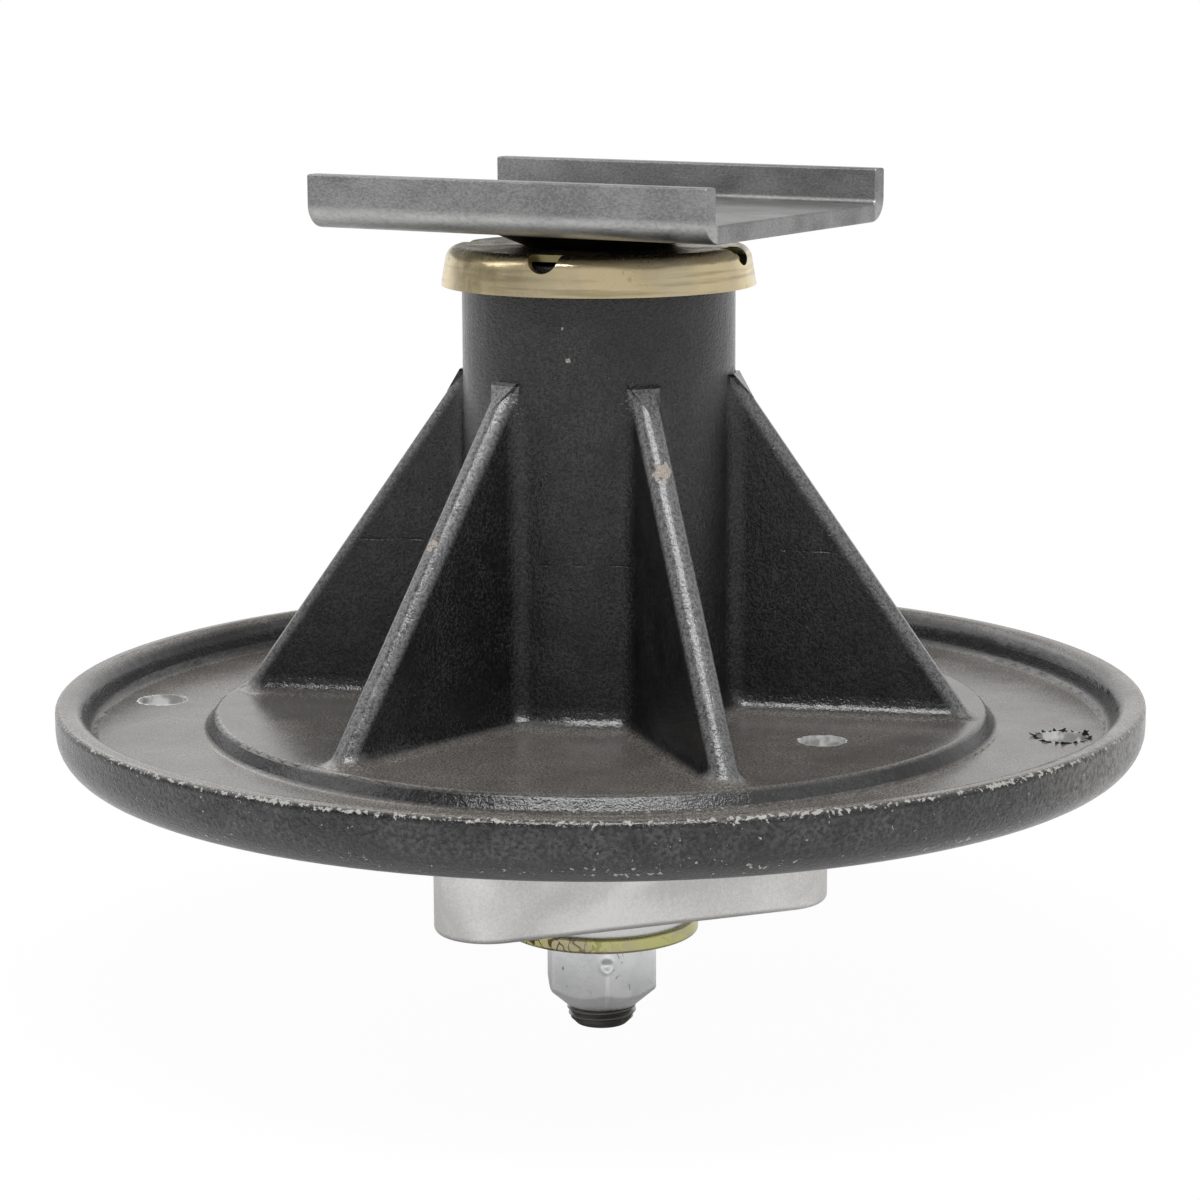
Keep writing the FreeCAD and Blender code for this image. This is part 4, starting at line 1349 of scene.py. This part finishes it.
@dataclass
class ClampNut:
    """The hexagon lock nut, with broken edges, a conical end and a dent in one corner."""

    node: str = "clamp_nut"
    slot: str = "nut_zinc"
    piece: str = "hexagon_clamp_nut"
    across_flats: float = 23.8
    turn: float = 7.1
    bore_radius: float = 7.15
    face_radius: float = 11.4
    face_slope: float = 30.0
    face_lift: float = 0.1
    cone_radius: float = 8.3
    cone_slope: float = 41.0
    corner_round: float = 0.7
    edge_round: float = 0.3
    steps_per_flat: int = 40
    rows: int = 26
    dent_corner: int = 5
    dent_height: float = -47.5
    dent_reach: float = 1.05
    dent_depth: float = 0.4
    dent_lip: float = 0.35
    sharp_angle: float = 32.0

    def build(self) -> None:
        """Replace the plain nut."""
        zinc = ZincPlate("clear_zinc", (0.82, 0.83, 0.84), (0.88, 0.885, 0.89), (0.4, 0.39, 0.37),
                         stain_share=0.0, cloud=5.0, roughness=0.22, corner_turn=self.turn)
        mesh = self._mesh()
        mesh.materials.append(zinc.material())
        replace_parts(add_piece(self.piece, mesh, Body.SPINDLE), self.node)

    def _reach(self, angle: float) -> float:
        """Distance of the hexagon's wall from the axis, its corners rounded.

        Args:
            angle: Direction from a corner, in radians.

        Returns:
            The distance in millimetres.
        """
        half, inner, rounding = math.pi / 6, self.across_flats / 2, self.corner_round
        off = (angle + half) % (2 * half) - half
        centre = (inner - rounding) / math.cos(half)
        tangent = math.atan2(rounding * math.sin(half), centre + rounding * math.cos(half))
        if abs(off) < tangent:
            return centre * math.cos(off) + math.sqrt(rounding ** 2 - (centre * math.sin(off)) ** 2)
        return inner / math.cos(half - abs(off))

    def _dented(self, angle: float, height: float) -> float:
        """Depth of the dent at a place on the wall.

        Args:
            angle: Direction from the first corner, in radians.
            height: Height of the place.

        Returns:
            The depth in millimetres, less than 0 on the raised lip.
        """
        aside = math.remainder(angle - self.dent_corner * math.pi / 3, math.tau) * self.across_flats / 2
        gap = math.hypot(aside * 1.2, height - self.dent_height) / self.dent_reach
        return self.dent_depth * (math.exp(-gap * gap) - self.dent_lip * math.exp(-((gap - 1.5) * 2.2) ** 2))

    def _profile(self, angle: float, low: float, high: float) -> list[tuple[float, float]]:
        """Radius and height of the nut's skin in one direction, from bore to bore.

        Args:
            angle: The direction from the first corner, in radians.
            low: Height of the nut's lower end.
            high: Height of its upper end.

        Returns:
            The points in millimetres.
        """
        wall, edge = self._reach(angle), self.edge_round
        cone = math.tan(math.radians(self.cone_slope))
        top = high - (wall - self.face_radius) * math.tan(math.radians(self.face_slope))
        base = low + (wall - self.cone_radius) * cone
        profile = [(self.bore_radius, high), (self.face_radius, high), (wall - edge, top + self.face_lift)]
        for row in range(self.rows + 1):
            height = top - edge + row / self.rows * (base - top + 2 * edge)
            profile.append((wall - self._dented(angle, height), height))
        return profile + [(wall - edge, base - edge * cone), (self.cone_radius, low), (self.bore_radius, low)]

    def _mesh(self) -> Mesh:
        """The nut as one closed skin: rings of the same count from bore to bore."""
        low, high = (corner.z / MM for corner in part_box(self.node))
        steps = 6 * self.steps_per_flat
        form = bmesh.new()
        columns = []
        for step in range(steps):
            angle = math.tau * step / steps
            turn = math.degrees(angle) + self.turn
            columns.append([form.verts.new(polar(radius, turn, height) * MM)
                            for radius, height in self._profile(angle, low, high)])
        for column, following in zip(columns, columns[1:] + columns[:1]):
            for index in range(len(column)):
                after = (index + 1) % len(column)
                form.faces.new((column[index], column[after], following[after], following[index]))
        bmesh.ops.recalc_face_normals(form, faces=form.faces)
        mesh = bpy.data.meshes.new(self.piece)
        form.to_mesh(mesh)
        form.free()
        mesh.shade_smooth()
        mesh.set_sharp_from_angle(angle=math.radians(self.sharp_angle))
        return mesh


@dataclass
class BearingSet:
    """Two sealed ball bearings and the spacer between them."""

    ends: tuple[str, str] = ("blade", "drive")
    spacer_node: str = "bearing_spacer"

    def build(self) -> None:
        """Dress the rings, balls, cages, seals and the spacer."""
        ground = OiledSteel("ground_bearing_steel", (0.62, 0.63, 0.64), (0.75, 0.76, 0.77), 0.14).material()
        nylon = Moulding("cage_nylon", (0.74, 0.68, 0.52), (0.66, 0.6, 0.44), 0.42).material()
        rubber = Moulding("seal_rubber", (0.02, 0.02, 0.02), (0.032, 0.031, 0.03), 0.55).material()
        finishes = {
            "outer_ring": ground, "inner_ring": ground, "balls": ground,
            "cage": nylon, "upper_seal": rubber, "lower_seal": rubber,
        }
        for end in self.ends:
            for piece, material in finishes.items():
                dress_node(f"{end}_bearing_{piece}", material)
        dress_node(self.spacer_node, OiledSteel("spacer_steel", (0.34, 0.34, 0.34), (0.5, 0.5, 0.5)).material())


@dataclass
class Studio:
    """Pale floor, white surroundings, soft lamps and the camera.

    Azimuths are counted from -Y. A level is the brightness of one side of
    the surroundings, and a mirror value is how white the floor shows in the part on that side.
    """

    camera_azimuth: float = 31.6
    camera_reach: float = 0.7509
    camera_height: float = 0.1761
    camera_dip: float = 0.187
    camera_roll: float = -0.004
    lens: float = 101.8
    sensor: float = 36.0
    floor_side: float = 12.0
    floor_colour: Colour = (0.86, 0.86, 0.86)
    front_level: float = 0.58
    left_level: float = 0.36
    right_level: float = 0.64
    back_level: float = 1.0
    overhead_share: float = 0.35
    near_white: float = 0.965
    left_mirror: float = 0.4
    right_mirror: float = 0.9
    under_mirror: float = 0.15
    lamps: tuple[tuple[str, float, float, float, tuple[float, float], float], ...] = (
        ("key_softbox", 28.0, 58.0, 1.0, (0.8, 0.3), 9.0),
        ("left_softbox", -88.0, 40.0, 1.2, (1.9, 0.7), 7.0),
        ("right_softbox", 88.0, 52.0, 1.2, (1.7, 1.0), 5.0),
    )

    def build(self) -> None:
        """Make the floor, world, lamps and camera."""
        self._floor()
        self._world()
        for lamp in self.lamps:
            self._lamp(*lamp)
        self._camera()
        bpy.context.scene.view_settings.view_transform = "Standard"

    @staticmethod
    def _facing(azimuth: float) -> Vector:
        """The level direction of an azimuth counted from -Y."""
        return polar(1.0, azimuth - 90.0)

    def _floor(self) -> None:
        """A plain pale floor under the part, shown almost white."""
        half, height = self.floor_side / 2, CAD_BOX[0].z
        mesh = bpy.data.meshes.new("studio_floor")
        corners = [(-half, -half, height), (half, -half, height), (half, half, height), (-half, half, height)]
        mesh.from_pydata(corners, [], [(0, 1, 2, 3)])
        material = bpy.data.materials.new("pale_floor")
        material.use_nodes = True
        sheet = NodeSheet(material.node_tree)
        place = sheet.coordinates()
        x, y, _ = sheet.parts(place)
        reach = sheet.length(x, y)
        aside = sheet.measure("DOT_PRODUCT", place, self._facing(self.camera_azimuth + 90.0))
        close = (sheet.span(aside, -0.12, 0.12, self.left_mirror, self.right_mirror)
                 * sheet.span(reach, 0.02, 0.12, self.under_mirror, 1.0))
        path = sheet.add("ShaderNodeLightPath").outputs
        mirrored = sheet.highest(path["Is Glossy Ray"], path["Is Transmission Ray"])
        seen = sheet.span(reach, 0.15, 1.2, self.near_white, 1.0)
        share = sheet.highest(sheet.calc("MULTIPLY", path["Is Camera Ray"], seen),
                              mirrored * sheet.highest(close, sheet.span(reach, 0.3, 0.9)))
        matt = sheet.result("ShaderNodeBsdfDiffuse", {"Color": self.floor_colour})
        white = sheet.result("ShaderNodeEmission", {"Color": WHITE, "Strength": 1.0})
        blend = sheet.result("ShaderNodeMixShader", {0: share, 1: matt, 2: white})
        sheet.add("ShaderNodeOutputMaterial", {"Surface": blend})
        mesh.materials.append(material)
        floor = new_object("studio_floor", mesh)

    def _world(self) -> None:
        """White surroundings as the camera sees them, that light the part like a white sweep behind it."""
        world = bpy.data.worlds.new("studio_room")
        world.use_nodes = True
        bpy.context.scene.world = world
        sheet = NodeSheet(world.node_tree)
        way = sheet.coordinates("Generated")
        _, _, up = sheet.parts(way)
        ahead, aside = (sheet.measure("DOT_PRODUCT", way, self._facing(self.camera_azimuth + turn))
                        for turn in (0.0, 90.0))
        level = sheet.span(aside, -0.6, 0.6, self.left_level, self.right_level)
        for share, goal in ((sheet.span(ahead, 0.4, 0.95), self.front_level),
                            (sheet.span(ahead, -0.4, -0.85), self.back_level)):
            level = level + share * (goal - level)
        level = level * sheet.span(up, 0.3, 0.8, 1.0, self.overhead_share)
        level = sheet.highest(level, sheet.result("ShaderNodeLightPath", output="Is Camera Ray"))
        back = sheet.result("ShaderNodeBackground", {"Color": WHITE, "Strength": level})
        sheet.add("ShaderNodeOutputWorld", {"Surface": back})

    def _lamp(self, name: str, azimuth: float, rise: float, reach: float,
              sides: tuple[float, float], power: float) -> None:
        """A soft lamp aimed at the part.

        Args:
            name: The lamp's name.
            azimuth: Its direction round the part, as the camera's is given.
            rise: Its angle above the horizon.
            reach: Its distance in metres.
            sides: Its width and height in metres.
            power: Its power in watts.
        """
        lamp = bpy.data.lights.new(name, "AREA")
        lamp.shape = "RECTANGLE"
        lamp.size, lamp.size_y = sides
        lamp.energy = power
        holder = new_object(name, lamp)
        lift = math.radians(rise)
        way = self._facing(azimuth) * math.cos(lift) + Vector((0.0, 0.0, math.sin(lift)))
        holder.location = (CAD_BOX[0] + CAD_BOX[1]) / 2 + way * reach
        holder.rotation_euler = (-way).to_track_quat("-Z", "Y").to_euler()

    def _camera(self) -> None:
        """The camera at the photograph's place."""
        data = bpy.data.cameras.new("photo_camera")
        data.lens = self.lens
        data.sensor_width = self.sensor
        camera = new_object("photo_camera", data)
        away = self._facing(self.camera_azimuth)
        camera.location = away * self.camera_reach + Vector((0.0, 0.0, self.camera_height))
        aim = -away * math.cos(self.camera_dip) - Vector((0.0, 0.0, math.sin(self.camera_dip)))
        roll = Matrix.Rotation(self.camera_roll, 3, "Z")
        camera.rotation_euler = (aim.to_track_quat("-Z", "Y").to_matrix() @ roll).to_euler()
        bpy.context.scene.camera = camera


def write_sizes() -> None:
    """Update the view layer."""
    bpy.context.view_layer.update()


def main() -> None:
    """Build the studio and dress every sub-assembly."""
    logging.basicConfig(level=logging.INFO, format="%(message)s")
    for assembly in (Housing(), SpindleShaft(), BladeHolder(), DustCap(), DriveEnd(), BearingSet(), Studio()):
        LOG.info("building %s", type(assembly).__name__)
        assembly.build()
    write_sizes()


if __name__ == "__main__":
    main()
